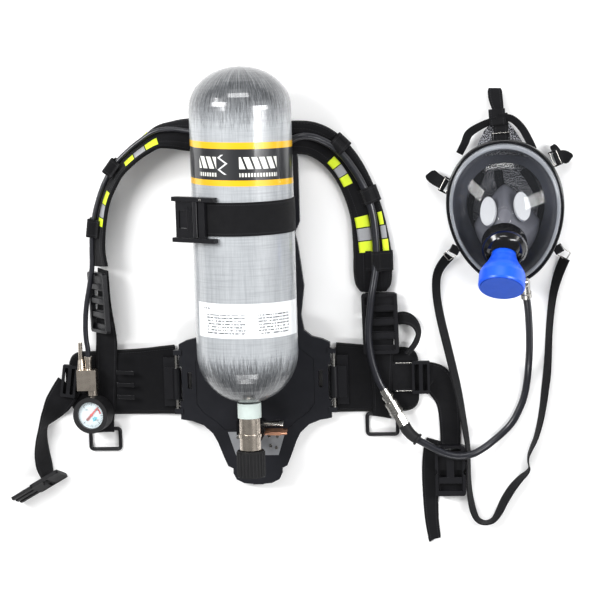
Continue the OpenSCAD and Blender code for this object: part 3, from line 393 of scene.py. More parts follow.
CAD_LOOK = {
    cylinder_mat(): ["cylinder_shell"], plate_m: ["backplate"], steel_m: ["reducer_bracket"],
    bright_m: ["bracket_rivets", "cylinder_liner", "relief_valve", "coupler_socket", "coupler_sleeve",
               "coupler_plug", "mask_fitting", "hinge_rods", "valve_stem", "reducer_piston"],
    collar_m: ["neck_collar"], nickel_m: ["valve_body", "whistle", "gauge_block"],
    rubber_m: ["handwheel", "gauge_case", "hose_boot"], dark_metal_m: ["coupling_nut", "reducer_body"],
    copper_m: ["auxiliary_outlet"],
    black_m: ["band_buckle", "band_lever", "strap_adjusters", "pull_ring_left", "pull_ring_right",
              "belt_carrier_left", "belt_carrier_right", "belt_slider_left", "belt_slider_right",
              "buckle_socket", "buckle_button"], dull_m: ["buckle_tongue"],
    dial_m: ["gauge_dial"], red_m: ["gauge_needle"], lens_m: ["gauge_lens"], gloss_m: ["port_housing"],
    white_m: ["inhale_valves"], blue_m: ["demand_valve"], blue_end_m: ["demand_cover"],
}
for look, names in CAD_LOOK.items():
    for n in names:
        N[n].data.materials.clear()
        N[n].data.materials.append(look)


# ---------------------------------------------------------------- shape helpers
def new_mesh(name, verts, faces, material, smooth=True):
    """Object from points in millimetres"""
    me = bpy.data.meshes.new(name)
    me.from_pydata([Vector(v) * MM for v in verts], [], faces)
    me.validate()
    for p in me.polygons:
        p.use_smooth = smooth
    me.materials.append(material)
    o = bpy.data.objects.new(name, me)
    scene.collection.objects.link(o)
    return o


def attach(o, body, replace=()):
    """Say what a piece rides on, and the CAD nodes it stands for"""
    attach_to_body(o, body)
    if replace:
        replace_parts(o, *replace)
    return o


def finish_mesh(o, uvs=None, outward=True):
    """Write the lay and edge maps, drop unused points and turn the faces outwards"""
    bm = bmesh.new()
    bm.from_mesh(o.data)
    if uvs:
        lay, edge = bm.loops.layers.uv.new("lay"), bm.loops.layers.uv.new("edge")
        for f in bm.faces:
            for corner in f.loops:
                u, v, e = uvs[corner.vert.index]
                corner[lay].uv = (u, v)
                corner[edge].uv = (e, 0)
    bmesh.ops.delete(bm, geom=[v for v in bm.verts if not v.link_faces], context="VERTS")
    if outward:
        bmesh.ops.recalc_face_normals(bm, faces=bm.faces)
    bm.to_mesh(o.data)
    bm.free()


def thicken(o, thickness, offset=0):
    wall = o.modifiers.new("thickness", "SOLIDIFY")
    wall.thickness = thickness
    wall.offset = offset


def tube(name, d, kind, count, material, rounds):
    """Empty round line of count points, and the object that holds it"""
    data = bpy.data.curves.new(name, "CURVE")
    data.dimensions = "3D"
    data.bevel_depth = d / 2 * MM
    data.bevel_resolution = rounds
    data.resolution_u = 10
    data.use_fill_caps = True
    data.materials.append(material)
    line = data.splines.new(kind)
    (line.bezier_points if kind == "BEZIER" else line.points).add(count - 1)
    o = bpy.data.objects.new(name, data)
    scene.collection.objects.link(o)
    return o, line


def turned(degrees, axis="Z", size=3):
    return Matrix.Rotation(math.radians(degrees), size, axis)


def spline(points, steps=6):
    """Smooth points through given ones, in any number of dimensions"""
    pts = [tuple(map(float, p)) for p in points]
    out = []
    for i in range(len(pts) - 1):
        p0, p1, p2, p3 = pts[max(i - 1, 0)], pts[i], pts[i + 1], pts[min(i + 2, len(pts) - 1)]
        for k in range(steps):
            t = k / steps
            out.append(tuple(
                0.5 * (2 * b + (c - a) * t + (2 * a - 5 * b + 4 * c - d) * t * t
                       + (3 * b - a - 3 * c + d) * t ** 3)
                for a, b, c, d in zip(p0, p1, p2, p3)))
    out.append(pts[-1])
    return out


def axes(points, i, tilt):
    """Across and outward directions of a ribbon at point i"""
    a, b = Vector(points[max(i - 1, 0)][:3]), Vector(points[min(i + 1, len(points) - 1)][:3])
    t = (b - a).normalized()
    h = t.cross(Vector((0, 0, 1))).normalized()
    n = h.cross(t)
    c, s = math.cos(math.radians(tilt)), math.sin(math.radians(tilt))
    return h * c + n * s, n * c - h * s


def ribbon(name, stations, section, material, body, replace=(), steps=6):
    """Lofted strap or pad through stations (x, y, z, width, tilt)

    section(width, run) lists (across, up, distance from the edge).
    """
    pts = spline(stations, steps)
    verts, uvs, count = [], [], 0
    run = 0.0
    for i, p in enumerate(pts):
        if i:
            run += (Vector(p[:3]) - Vector(pts[i - 1][:3])).length
        side, out = axes(pts, i, p[4])
        sec = section(p[3], run)
        count = len(sec)
        for u, v, e in sec:
            verts.append(Vector(p[:3]) + side * u + out * v)
            uvs.append((u, run, e))
    faces = []
    for i in range(len(pts) - 1):
        for k in range(count):
            a, b = i * count + k, i * count + (k + 1) % count
            faces.append((a, a + count, b + count, b))
    faces.append(tuple(range(count)))
    faces.append(tuple(range((len(pts) - 1) * count, len(pts) * count))[::-1])
    o = new_mesh(name, verts, faces, material)
    finish_mesh(o, uvs)
    return attach(o, body, replace)


def web_section(t):
    """Webbing of thickness t with thin selvedges"""
    def sec(w, run):
        h, e = w / 2, 0.9
        top = [(-h, 0, 0), (-h + 0.3, t * 0.38, 0.3), (-h + e, t / 2, e), (-h + 2.6, t * 0.44, 2.6),
               (-h / 2, t * 0.46, h / 2), (0, t * 0.47, h), (h / 2, t * 0.46, h / 2),
               (h - 2.6, t * 0.44, 2.6), (h - e, t / 2, e), (h - 0.3, t * 0.38, 0.3), (h, 0, 0)]
        return top + [(u, -v, d) for u, v, d in top[-2:0:-1]]
    return sec


def strap(name, stations, body, replace=(), material=webbing_black, t=2.0, steps=6):
    return ribbon(name, stations, web_section(t), material, body, replace, steps)


def pad_section(t, crown=0.8, bind=5.0):
    """Foam in a cover: thin bound rims and a crowned middle"""
    def sec(w, run):
        h = w / 2
        puff = 0.35 * math.sin(run * 0.16)
        top = []
        for k in range(17):
            u = -h + w * k / 16
            d = h - abs(u)
            rim = min(1, d / bind)
            swell = 1 - (abs(u) / h) ** 2.6
            v = t / 2 * (0.42 + 0.2 * rim + 0.38 * crown * swell) + (0.5 * puff if d > bind else 0)
            if d < 1e-6:
                v = 0
            top.append((u, v, d))
        return top + [(u, -v * 0.9, d) for u, v, d in top[-2:0:-1]]
    return sec


def tape(name, stations, along, across, lift, material):
    """Reflective patch laid on a pad, between two stations and two offsets"""
    pts = spline(stations, 10)
    verts, faces, rows, cols = [], [], 14, 6
    for r in range(rows + 1):
        f = (along[0] + (along[1] - along[0]) * r / rows) * 10
        i = min(int(f), len(pts) - 2)
        g = f - i
        p = [a + (b - a) * g for a, b in zip(pts[i], pts[i + 1])]
        side, out = axes(pts, i, p[4])
        h = p[3] / 2
        for c in range(cols + 1):
            u = across[0] + (across[1] - across[0]) * c / cols
            v = lift(u, h)
            verts.append(Vector(p[:3]) + side * u + out * v)
    for r in range(rows):
        for c in range(cols):
            a = r * (cols + 1) + c
            faces.append((a, a + 1, a + cols + 2, a + cols + 1))
    o = new_mesh(name, verts, faces, material)
    thicken(o, 0.0005)
    attach(o, "pack")


# ---------------------------------------------------------------- hoses
SUPPLY = [
    (-8, -55, 30), (-8, -40, 30), (2, -16, 29), (22, 8, 28.5), (40, 32, 28.5), (50, 62, 28.5),
    (52, 110, 28.5), (52, 180, 28.5), (52, 250, 28.5), (52, 310, 28.5), (53, 340, 32),
    (58, 362, 37.5), (68, 378, 40), (84, 385.5, 39.7), (102, 384.5, 35.2), (118, 378, 29.8),
    (134, 368, 25.6), (149, 354, 23.2), (162, 336, 22), (173, 318, 21.6), (182, 299, 21.4),
    (189, 277, 21.4), (193.5, 256, 21.4), (196, 230, 21.4), (197, 204, 21.4), (196, 182, 21.8),
    (193, 160, 24), (188.5, 135, 27), (185, 108, 27.2), (182, 78, 27.2), (184, 43, 27), (190, 16, 26),
    (197.3, -4.5, 24.8), (203, -15, 24.8)]
GAUGE = [
    (-24, -55, 29), (-25, -38, 29), (-32, -16, 27.5), (-42, 8, 27), (-50, 36, 27), (-52, 90, 27),
    (-52, 160, 27), (-52, 230, 27), (-51, 300, 27), (-50, 340, 27.5), (-50, 362, 32), (-54, 384, 37),
    (-66, 394, 37.2), (-80, 396, 37), (-97, 398.5, 35), (-117, 401, 33.2), (-142.5, 398.5, 32.2),
    (-167.5, 383.8, 30.8), (-190.5, 366, 30.2), (-211.5, 344.4, 30), (-226.5, 320, 30), (-236.5, 296, 29.8),
    (-243.8, 271.5, 30.4), (-248.8, 246, 31), (-251, 214, 31), (-252, 187, 31), (-257, 158, 31),
    (-263, 128, 31), (-266, 100, 31), (-266, 72, 31), (-264, 56, 31), (-264, 44, 31)]
MASK = [
    (234.2, -72.2, 24.8), (238.6, -80.3, 24.8), (244.5, -87.5, 24.8), (250.5, -92.5, 24.9),
    (256, -96.5, 25), (270, -104, 26.4), (286, -112.5, 28), (303, -119.5, 29), (321, -122.5, 29),
    (339, -120, 26.5), (356.5, -112.5, 19.5), (373, -101.5, 12.4), (389, -88.5, 8.2), (403, -73.5, 6.6),
    (414, -54, 6.5), (422, -34, 6.5), (427, -11, 7.5), (430, 13, 13), (432, 38, 25), (433, 65, 42),
    (433, 92, 60), (432, 118, 76), (430, 136, 86)]


def hose(name, route, d, node, **facts):
    o, line = tube(name, d, "BEZIER", len(route), hose_m, 6)
    for p, at in zip(line.bezier_points, route):
        p.co = Vector(at) * MM
        p.handle_left_type = p.handle_right_type = "AUTO"
    attach(o, "pack", [node])


hose("supply_line", SUPPLY, 11.5, "supply_hose", far_end="connector",
     with_pieces=["coupler_socket", "coupler_sleeve", "coupler_plug"])
hose("gauge_line", GAUGE, 8, "gauge_hose", far_end="object")
hose("mask_line", MASK, 11.5, "mask_hose", far_end="object", with_pieces=["hose_boot"])

# ---------------------------------------------------------------- shoulder pads, tapes and keepers
LEFT_PAD = [
    (-58, 389, 27.6, 52, 0), (-78, 391, 27.8, 52, -6), (-97, 392, 26.5, 52, -20), (-116, 392, 27, 52, -36),
    (-139, 389, 28, 52, -48), (-161, 375, 28.5, 52, -60), (-183, 358, 28.5, 52, -64),
    (-203, 338, 28.5, 52, -66), (-217, 315, 28.5, 52, -66), (-227, 292, 28.5, 52, -66),
    (-234, 269, 28.5, 52, -62), (-239, 245, 28.5, 52, -58), (-241, 214, 28.5, 52, -58),
    (-238, 188, 28, 50, -56)]
RIGHT_PAD = [
    (58, 384, 27.7, 50, 0), (80, 384, 27.7, 52, 0), (99, 381, 21.5, 53, 0), (116, 373, 16, 53, 0),
    (132, 360, 12.5, 52, 0), (147, 343, 11, 51, 0), (160, 322, 10, 50, 0), (170, 300, 9.5, 50, 0),
    (178, 277, 9.5, 51, 0), (184, 253, 9.5, 53, 0), (188, 223, 9.5, 57, 0), (190, 197, 9.5, 60, 0),
    (190, 172, 9.5, 61, 0), (190, 150, 9.5, 56, 0), (190, 138, 9.5, 40, 0)]
PADS = {"left": (LEFT_PAD, 9), "right": (RIGHT_PAD, 11)}       # route and thickness
for side, (route, thick) in PADS.items():
    pad = ribbon(f"{side}_shoulder_pad", route, pad_section(thick), pad_black, "pack",
                 [f"shoulder_pad_{side}"])


def on_pad(t):
    """Height of a tape on a pad of thickness t"""
    def lift(u, h):
        return t / 2 * (0.62 + 0.304 * (1 - (abs(u) / h) ** 2.6)) + 0.55
    return lift


TAPES = [
    ("left", (4.1, 4.95), (-20, -5), yellow_m), ("left", (5.0, 5.75), (-20, -5), grey_m),
    ("left", (5.8, 6.45), (-20, -5), yellow_m), ("left", (4.5, 5.3), (15, 24), yellow_m),
    ("left", (8.35, 9.2), (-22, -5), yellow_m), ("left", (9.25, 10.1), (-22, -5), grey_m),
    ("left", (10.15, 10.7), (-22, -5), yellow_m), ("left", (5.35, 5.9), (15, 24), grey_m),
    ("right", (4.3, 5.0), (3, 19), yellow_m), ("right", (5.05, 5.75), (3, 19), grey_m),
    ("right", (5.8, 6.5), (3, 19), yellow_m), ("right", (8.75, 9.4), (-2, 20), yellow_m),
    ("right", (9.45, 10.1), (-2, 20), grey_m), ("right", (10.15, 10.85), (-2, 20), yellow_m),
    ("right", (8.75, 9.4), (-24, -17), yellow_m), ("right", (9.45, 10.1), (-26, -17), grey_m),
    ("right", (10.15, 10.85), (-27, -17), yellow_m)]
for k, (side, span, cross, look) in enumerate(TAPES):
    route, thick = PADS[side]
    tape(f"tape_{side}_{k}", route, span, cross, on_pad(thick), look)


def keeper(name, centre, way, tilt, w, length, low, high, mid, reach, outer=-1):
    """Strap that starts beside the hose, lies over it and wraps the pad's outer edge"""
    c, d = Vector(centre), Vector(way).normalized()
    h = d.cross(Vector((0, 0, 1))).normalized()
    n = h.cross(d)
    a = math.radians(tilt)
    side, out = (h * math.cos(a) + n * math.sin(a)) * outer, n * math.cos(a) - h * math.sin(a)
    m, edge, half = mid * outer, w / 2, length / 2
    path = spline([
        (m - reach, -low + 0.4), (m - 8.5, -low + 1.6), (m - 6.2, high - 6), (m - 3.6, high - 1.3), (m, high),
        (m + 3.6, high - 1.3), (m + 7.5, high - 6.5), ((m + 7 + edge) / 2, -low + 1.2),
        (edge - 2, -low + 0.3), (edge + 1, 2.2), (edge + 1, -2), (edge - 2, low + 0.6),
        (edge - 12, low - 0.3), (0, low - 0.4)], 5)
    verts, uvs, cols = [], [], len(path)
    rows = (-half, -half + 0.9, -half + 2.6, 0, half - 2.6, half - 0.9, half)
    for along in rows:
        sunk = 0.5 if abs(along) == half else 0
        for k, q in enumerate(path):
            narrowed = along * (0.94 if k == 0 else 1)
            verts.append(c + d * narrowed + side * q[0] + out * (q[1] - sunk))
            uvs.append((along + half, k * 2.4, min(along + half, half - along)))
    faces = [(r * cols + k, r * cols + k + 1, (r + 1) * cols + k + 1, (r + 1) * cols + k)
             for r in range(len(rows) - 1) for k in range(cols - 1)]
    o = new_mesh(name, verts, faces, webbing_black)
    finish_mesh(o, uvs, outward=False)
    thicken(o, 0.0016)
    return attach(o, "pack")


first_keeper = keeper("keeper_1", (-206, 336, 28.5), (-19, -25, 0), -66, 54, 26, -7.4, 19.5, 3, 17, 1)
keeper("keeper_2", (-238, 247, 28.5), (-3, -24, 0), -59, 54, 28, -7.4, 19.5, 3, 17, 1)
keeper("keeper_3", (133, 361, 12.4), (15.5, -15.5, -1.2), 0, 52, 25, -5.7, 17.8, -8, 10)
keeper("keeper_4", (175.5, 286, 9.5), (8, -23, 0), 0, 51.5, 25, -5.7, 17.6, -10.5, 13)
keeper("keeper_5", (190, 187, 9.5), (0.2, -24, 0), 0, 60, 31, -5.7, 17.6, -6.5, 17)
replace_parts(first_keeper, "hose_keepers")

# ---------------------------------------------------------------- pull straps
strap("right_pull_strap", [
    (200, 136, 5, 46, 0), (200, 100, 6, 44, 0), (200, 72, 9.5, 42, 0), (200, 60, 11.4, 40, 0),
    (200, 30, 11.4, 36, 0), (200, -20, 11.4, 30, 0), (199.5, -48, 11.3, 30, 0), (199, -56, 9.3, 30, 0),
    (198.7, -60.6, 6.6, 30, 0), (198.5, -62, 3.6, 30, 0)], "pack", ["pull_straps"], steps=5)
strap("left_pull_strap", [
    (-236, 182, 24, 42, -58), (-236, 130, 22, 40, -50), (-236, 90, 19, 38, -30), (-236, 64, 15.5, 36, -12),
    (-238, 44, 11.6, 34, 0), (-240, -10, 11.6, 32, 0), (-244, -56, 11.4, 30, 0), (-245, -68, 11.2, 30, 0),
    (-245.5, -76, 9.2, 30, 0), (-246, -80.2, 6.6, 30, 0), (-246, -81.6, 3.6, 30, 0)], "pack", steps=5)
strap("right_strap_loop", [
    (223, 93, 8, 18, 6), (235, 95.5, 9, 20, 10), (246, 92.5, 10.5, 19, 26), (255, 84.5, 13, 17, 50),
    (259.5, 72, 16.5, 16, 64), (256, 59.5, 19.5, 16, 60), (249, 49, 20.5, 16, 58),
    (241, 40, 20.5, 16, 60)], "pack")

# ---------------------------------------------------------------- waist pads and belt


def waist_pad(name, node, body, side, end):
    """Crowned pad with a bound border, wide at the plate and rounded at its outer end"""
    outline = [(126.5, 2, 111.5), (150, 1, 109), (185, -0.5, 105.5), (end - 40, -2, 102), (end - 22, -2, 102),
               (end - 11, -2, 96), (end - 4, -2, 84), (end - 0.4, -2, 66)]
    stations = [(side * x, y, 5.5, w, 0) for x, y, w in outline]
    if side < 0:
        stations = stations[::-1]
    section = pad_section(9, crown=1.0, bind=7)
    ribbon(name, stations, section, belt_cloth, body, [node], steps=7)


waist_pad("right_waist_pad", "belt_pad_right", "right_wing", 1, 258)
waist_pad("left_waist_pad", "belt_pad_left", "left_wing", -1, 300)


def lumbar(name, cx, cy, w, h, z0, z1):
    """Cushion under the plate, flat underneath, with pulled-in sides"""
    verts, faces, n = [], [], 24
    for j in range(n + 1):
        for i in range(n + 1):
            a, b = -1 + 2 * i / n, -1 + 2 * j / n
            corner = max(0.0, abs(a) + abs(b) - 1.55) * 0.2
            x, y = cx + a * w / 2 * (1 - corner), cy + b * h / 2 * (1 - corner)
            rim = min(1, (1 - max(abs(a), abs(b))) * 7)
            verts.append((x, y, z0 + (1 - rim) * 3.5))
            verts.append((x, y, z1 - 0.4 - (1 - rim) * 3.5))
    for j in range(n):
        for i in range(n):
            a = (j * (n + 1) + i) * 2
            b, c, d = a + 2, a + 2 * (n + 1) + 2, a + 2 * (n + 1)
            faces += [(a, d, c, b), (a + 1, b + 1, c + 1, d + 1)]
    edge = [j * (n + 1) for j in range(n)] + [n * (n + 1) + i for i in range(n)]
    edge += [j * (n + 1) + n for j in range(n, 0, -1)] + list(range(n, 0, -1))
    for p, q in zip(edge, edge[1:] + edge[:1]):
        faces.append((2 * p, 2 * p + 1, 2 * q + 1, 2 * q))
    o = new_mesh(name, verts, faces, pad_plain)
    finish_mesh(o)
    attach(o, "pack")
    return o


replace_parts(lumbar("lumbar_cushion", 0, 0, 176, 104, 0, 12), "lumbar_pad")
lumbar("upper_cushion", 0, 300, 120, 84, 0, 12)

strap("right_belt", [
    (216, 2, 11, 47, 0), (240, 2, 11, 47, 0), (268, 2, 11, 47, 0), (278, 1, 9, 46, 0), (286, -4, 3.4, 46, 0),
    (294, -18, 2.2, 44, 0), (302, -40, 2.1, 36, 0), (305, -70, 2.1, 33, 0), (305, -111, 2.1, 31, 0)],
    "right_wing", ["belt_webbing_right"])
strap("right_belt_tail", [
    (279, -100, 2.1, 22, 0), (274.5, -118, 2.1, 25, 0), (272, -150, 2.1, 25.5, 0), (272, -185, 2.1, 24.5, 0),
    (273, -225, 2.1, 22, 0), (276.5, -256, 2.1, 20, 0), (277.2, -260.5, 2.1, 20, 0)], "right_wing")
strap("left_belt", [
    (-299, -4, 13.2, 44, 0), (-308, -17, 13.2, 44, 0), (-317, -30, 13.4, 42, 6), (-327, -44, 15.4, 40, 36),
    (-336.5, -57.5, 18.4, 38, 60), (-343, -70, 19.8, 38, 78), (-347, -90, 19.4, 38, 74),
    (-347.5, -112, 18, 38, 64), (-345, -132, 17.6, 38, 60), (-341.5, -146, 19.5, 38, 68),
    (-338, -156, 22.4, 38, 77), (-338.2, -161, 22.6, 38, 79)], "left_wing", ["belt_webbing_left"])
strap("left_belt_root", [(x, 4, 11.1, 47, 0) for x in (-262, -286, -305)], "left_wing")

# ---------------------------------------------------------------- cylinder band


def cylinder_band():
    """Webbing over the cylinder, reaching 124 degrees down each side"""
    verts, uvs, faces = [], [], []
    r0, r1, y0, y1 = CYL_R + 0.1, CYL_R + 2, 247, 298
    low, n = math.radians(124), 120
    profile = [(y0, r0), (y0, r1 - 0.4), (y0 + 0.8, r1), (y0 + 3, r1 - 0.25), ((y0 + y1) / 2, r1 - 0.1),
               (y1 - 3, r1 - 0.25), (y1 - 0.8, r1), (y1, r1 - 0.4), (y1, r0)]
    m = len(profile)
    for i in range(n + 1):
        a = -low + 2 * low * i / n
        for y, r in profile:
            verts.append((math.sin(a) * r, y, CYL_Z + math.cos(a) * r))
            uvs.append((y - y0, a * r, min(y - y0, y1 - y)))
    for i in range(n):
        for k in range(m):
            a, b = i * m + k, i * m + (k + 1) % m
            faces.append((a, b, b + m, a + m))
    faces += [tuple(range(m)), tuple(range(n * m, n * m + m))[::-1]]
    o = new_mesh("cylinder_strap", verts, faces, webbing_black)
    finish_mesh(o, uvs)
    attach(o, "pack", ["cylinder_band"])


cylinder_band()

# ---------------------------------------------------------------- face mask
MASK_AT = Matrix.Translation((400, 262, 0)) @ turned(3, size=4)
RIM_Z, RISE = 44, 56            # height of the window's rim and of its crown above the rim
MW, MH = 181, 226               # width and height of the mask


def egg(w, h, k, n, dy, z, pinch):
    """Point k of n round an egg-shaped ring; it widens upwards unless pinch narrows the top"""
    a = 2 * math.pi * k / n
    wide = 1 + 0.11 * math.sin(a) - pinch * max(0, math.sin(a))
    return MASK_AT @ Vector((w / 2 * math.cos(a) * wide, h / 2 * math.sin(a) + dy, z))


def egg_loft(name, rings, material, replace=(), closed=False, n=96, drop=None, pinch=0.0):
    """Smooth loft through egg-shaped rings (width, height, z, dy)"""
    verts = [egg(w, h, k, n, dy, z, pinch) for w, h, z, dy in rings for k in range(n)]
    faces = []
    for i in range(len(rings) if closed else len(rings) - 1):
        j = (i + 1) % len(rings)
        for k in range(n):
            quad = (i * n + k, i * n + (k + 1) % n, j * n + (k + 1) % n, j * n + k)
            if not drop or not drop(sum((verts[q] for q in quad), Vector()) / 4):
                faces.append(quad)
    o = new_mesh(name, verts, faces, material)
    finish_mesh(o, outward=closed)
    return attach(o, "pack", replace)


def scaled(rings):
    """Rings given as shares of the mask's width and height"""
    return [(MW * w, MH * h, z, dy) for w, h, z, dy in rings]


PORT = Vector((398.5, 217, 91))
PORT_R = 31.0
port_way = turned(4.7) @ turned(28, "X") @ Vector((0, 0, 1))


def near_port(p):
    rel = p - PORT
    return (rel - port_way * rel.dot(port_way)).length < PORT_R and p.z > 60


dome = scaled([(0.95 * math.cos(a), 0.95 * math.cos(a), RIM_Z + RISE * math.sin(a), 0)
               for a in [math.radians(84 * k / 26) for k in range(27)]])
visor = egg_loft("visor_window", dome, visor_m, ["visor"], drop=near_port, n=128)
thicken(visor, 0.0026, offset=-1)
# glass edge ring inside the frame; its light grey colour is a painted reflection
rim = scaled([(s, s, z, 0) for s, z in (
    (0.9495, 44.6), (0.9485, 49), (0.944, 53.5), (0.934, 57.5), (0.921, 60.5), (0.885, 64), (0.872, 60),
    (0.89, 50), (0.905, 44.6))])
egg_loft("visor_rim", rim, rim_m, closed=True, n=128)
frame_ring = scaled([(s, s, z, 0) for s, z in (
    (0.985, 34.2), (0.997, 36), (1.0, 40), (1.0, 45), (0.994, 48.6), (0.982, 50), (0.966, 50), (0.957, 49),
    (0.9535, 46.6), (0.952, 44.1), (0.905, 44.1), (0.905, 34.2))])
egg_loft("mask_frame", frame_ring, gloss_m, ["visor_frame"], closed=True, n=128)
seal_rings = scaled([
    (0.912, 0.912, 34, 0), (0.88, 0.88, 29, 0), (0.84, 0.83, 20, 0), (0.79, 0.775, 12, 1),
    (0.74, 0.7, 8.8, 3), (0.7, 0.66, 7, 4), (0.665, 0.62, 4.8, 4), (0.67, 0.625, 2.6, 4), (0.69, 0.64, 1, 4),
    (0.73, 0.68, 0.3, 3), (0.8, 0.8, 2.2, 0), (0.93, 0.93, 14, 0), (0.985, 0.985, 26, 0),
    (0.99, 0.99, 33.6, 0)])
egg_loft("soft_face_seal", spline(seal_rings, 4), seal_m, ["face_seal"], closed=True)
cup = [(96, 112, 12, -18), (94.5, 109, 28, -20), (79, 93, 46, -26), (59, 73, 59, -33), (36, 48, 66.5, -38),
       (2, 3, 69, -40), (2, 3, 71, -40), (38, 50, 68.5, -38), (63.5, 77.5, 61.6, -33),
       (83.5, 97.5, 47.6, -26), (99.5, 113.5, 28.8, -20), (101.5, 117.5, 12.2, -18)]
egg_loft("inner_nose_cup", spline(cup, 5), cup_m, ["nose_cup"], closed=True, pinch=0.72)
bell_turn = turned(-4.7) @ turned(53.2, "X")
BELL = Vector((399.2, 223.1, 90))
ROUND = 64
sleeve = ((25, 1), (29.5, 4), (30.5, 9), (29, 14), (25, 19), (21, 23), (20, 23.6), (19.3, 22.6), (19.3, 14))
angles = [2 * math.pi * q / ROUND for q in range(ROUND)]
verts = [bell_turn @ Vector((r * math.cos(a), r * math.sin(a), z)) + BELL
         for r, z in spline(sleeve, 4) for a in angles]
faces = [(i + q, i + (q + 1) % ROUND, i + ROUND + (q + 1) % ROUND, i + ROUND + q)
         for i in range(0, len(verts) - ROUND, ROUND) for q in range(ROUND)]
attach(new_mesh("port_sleeve", verts, faces, gloss_m), "pack")

# speckled net of the head harness seen through the face opening
net_m = Mat("harness_net", lin("35363a"), rough=0.85, vary=0.1, patch=300, grain=900, relief=0.8,
            depth=0.0008, rounding=0)
speckle = net_m.noise(net_m.xyz, 620, 2, 0.6)
net_m.paint(net_m.remap(speckle, 0, 1, 0.5, 0.56), lin("b4b5bb"))
net_m.paint(net_m.remap(speckle, 1, 0, 0.4, 0.48), lin("101012"))
net_m.add_height(speckle, 2.0)
net_m = net_m.done()
net = scaled([(0.68, 0.635, 0.4, 4), (0.68, 0.635, 1.2, 4), (0.4, 0.38, 1.8, 4), (0.2, 0.2, 2.0, 4),
              (0.02, 0.02, 2.1, 4)])
egg_loft("harness_net", net, net_m, n=64)
strap("harness_centre", [
    (402, 240, 3.2, 13, 0), (401, 270, 3.2, 13, 0), (391, 305, 3.2, 13, 0),
    (389, 324, 3.2, 13, 0)], "pack", ["head_harness"], webbing_plain, t=1.0)
SIDE_STRAPS = (
    ((361, 322, 16), (353, 300, 14), (345, 275, 10), (342, 245, 15), (350, 213, 20)),
    ((428, 325, 15), (441, 304, 13), (453, 274, 10), (454, 244, 16), (444, 211, 20)))
for k, points in enumerate(SIDE_STRAPS):
    stations = [(x, y, 3.4, w, 0) for x, y, w in points]
    strap(f"harness_side_{k}", stations, "pack", (), webbing_plain, t=1.0)
strap("top_strap", [
    (394.5, 372, 25, 22, 0), (394.5, 390, 22, 23, 0), (394.5, 405, 19, 23, 0),
    (394, 413, 16.5, 22, 0)], "pack", t=2.6)
strap("top_strap_end", [
    (393, 404, 17, 18, 0), (391, 417, 14.5, 17, 0), (389, 427, 13.2, 20, 0), (387, 437, 11.2, 22, 0),
    (386, 447, 9.2, 22, 0), (386, 452, 8.2, 19, 0)], "pack", t=2.2)
# speckled hood behind the top strap: eight edge points, then its middle
hood = [(350, 345, 16), (360, 370, 14.8), (368, 386, 14), (379, 398, 13.6), (407, 398, 13.6), (416, 386, 14),
        (426, 370, 14.8), (438, 345, 16), (392, 350, 17)]
verts = [(x, y, z + k) for k in (0, 1.2) for x, y, z in hood]
faces = [(8, k, k + 1) for k in range(7)] + [(17, k + 10, k + 9) for k in range(7)]
faces += [(k, k + 9, k + 10, k + 1) for k in range(7)]
attach(new_mesh("harness_hood", verts, faces, net_m), "pack")


def box(name, size, at, turn, material, body, soft=0.5):
    """Small block with softened edges"""
    sx, sy, sz = (v / 2 for v in size)
    pts = [(x, y, z) for z in (-sz, sz) for x, y in ((-sx, -sy), (sx, -sy), (sx, sy), (-sx, sy))]
    faces = [(0, 3, 2, 1), (4, 5, 6, 7), (0, 1, 5, 4), (1, 2, 6, 5), (2, 3, 7, 6), (3, 0, 4, 7)]
    o = new_mesh(name, [turn @ Vector(q) + Vector(at) for q in pts], faces, material, False)
    b = o.modifiers.new("edge", "BEVEL")
    b.width = min(soft, min(size) * 0.3) * MM
    b.segments = 3
    attach(o, body)


def wire(name, points, d, body="pack", cyclic=False, steps=1):
    """Bent bright bar, smoothed where steps is over 1"""
    pts = spline(points, steps) if steps > 1 else points
    o, line = tube(name, d, "POLY", len(pts), bright_m, 4)
    for q, at in zip(line.points, pts):
        q.co = (*(Vector(at) * MM), 1)
    line.use_cyclic_u = cyclic
    attach(o, body)


lever_turn = turned(-30, "Y")
lever_foot = Vector((0, 0, CYL_Z)) + lever_turn @ Vector((0, 0, CYL_R + 2.05))


def lever_box(name, size, at, material, body, soft):
    """Block placed in the cam buckle's own axes"""
    box(name, size, lever_foot + lever_turn @ Vector(at), lever_turn, material, body, soft)


lever_box("lever_panel", (13.2, 26.2, 2.6), (-49, 271.5, 4.6), black_m, "band_lever", 0.4)
for k in range(4):
    lever_box(f"lever_rib_{k}", (1.2, 40, 1), (-39 + 2.6 * k, 271.5, 7.6), black_m, "band_lever",
              0.3)
lever_box("buckle_stud", (5, 3.4, 2.4), (-12, 302.6, 10.4), bright_m, "pack", 0.8)
for k, y in enumerate((16, -3.5, -23)):
    box(f"waist_ridge_{k}", (29, 7, 3.4), (-207, y, 22.3), turned(-3), gloss_m,
        "left_wing", 1)
for k, y in enumerate((24.5, -20)):
    bend = [(222, y, 14), (228, y + 0.4, 15.5), (246, y + 0.6, 15.5), (253, y, 14)]
    wire(f"slider_wire_{k}", bend, 1.6, "right_wing", steps=3)

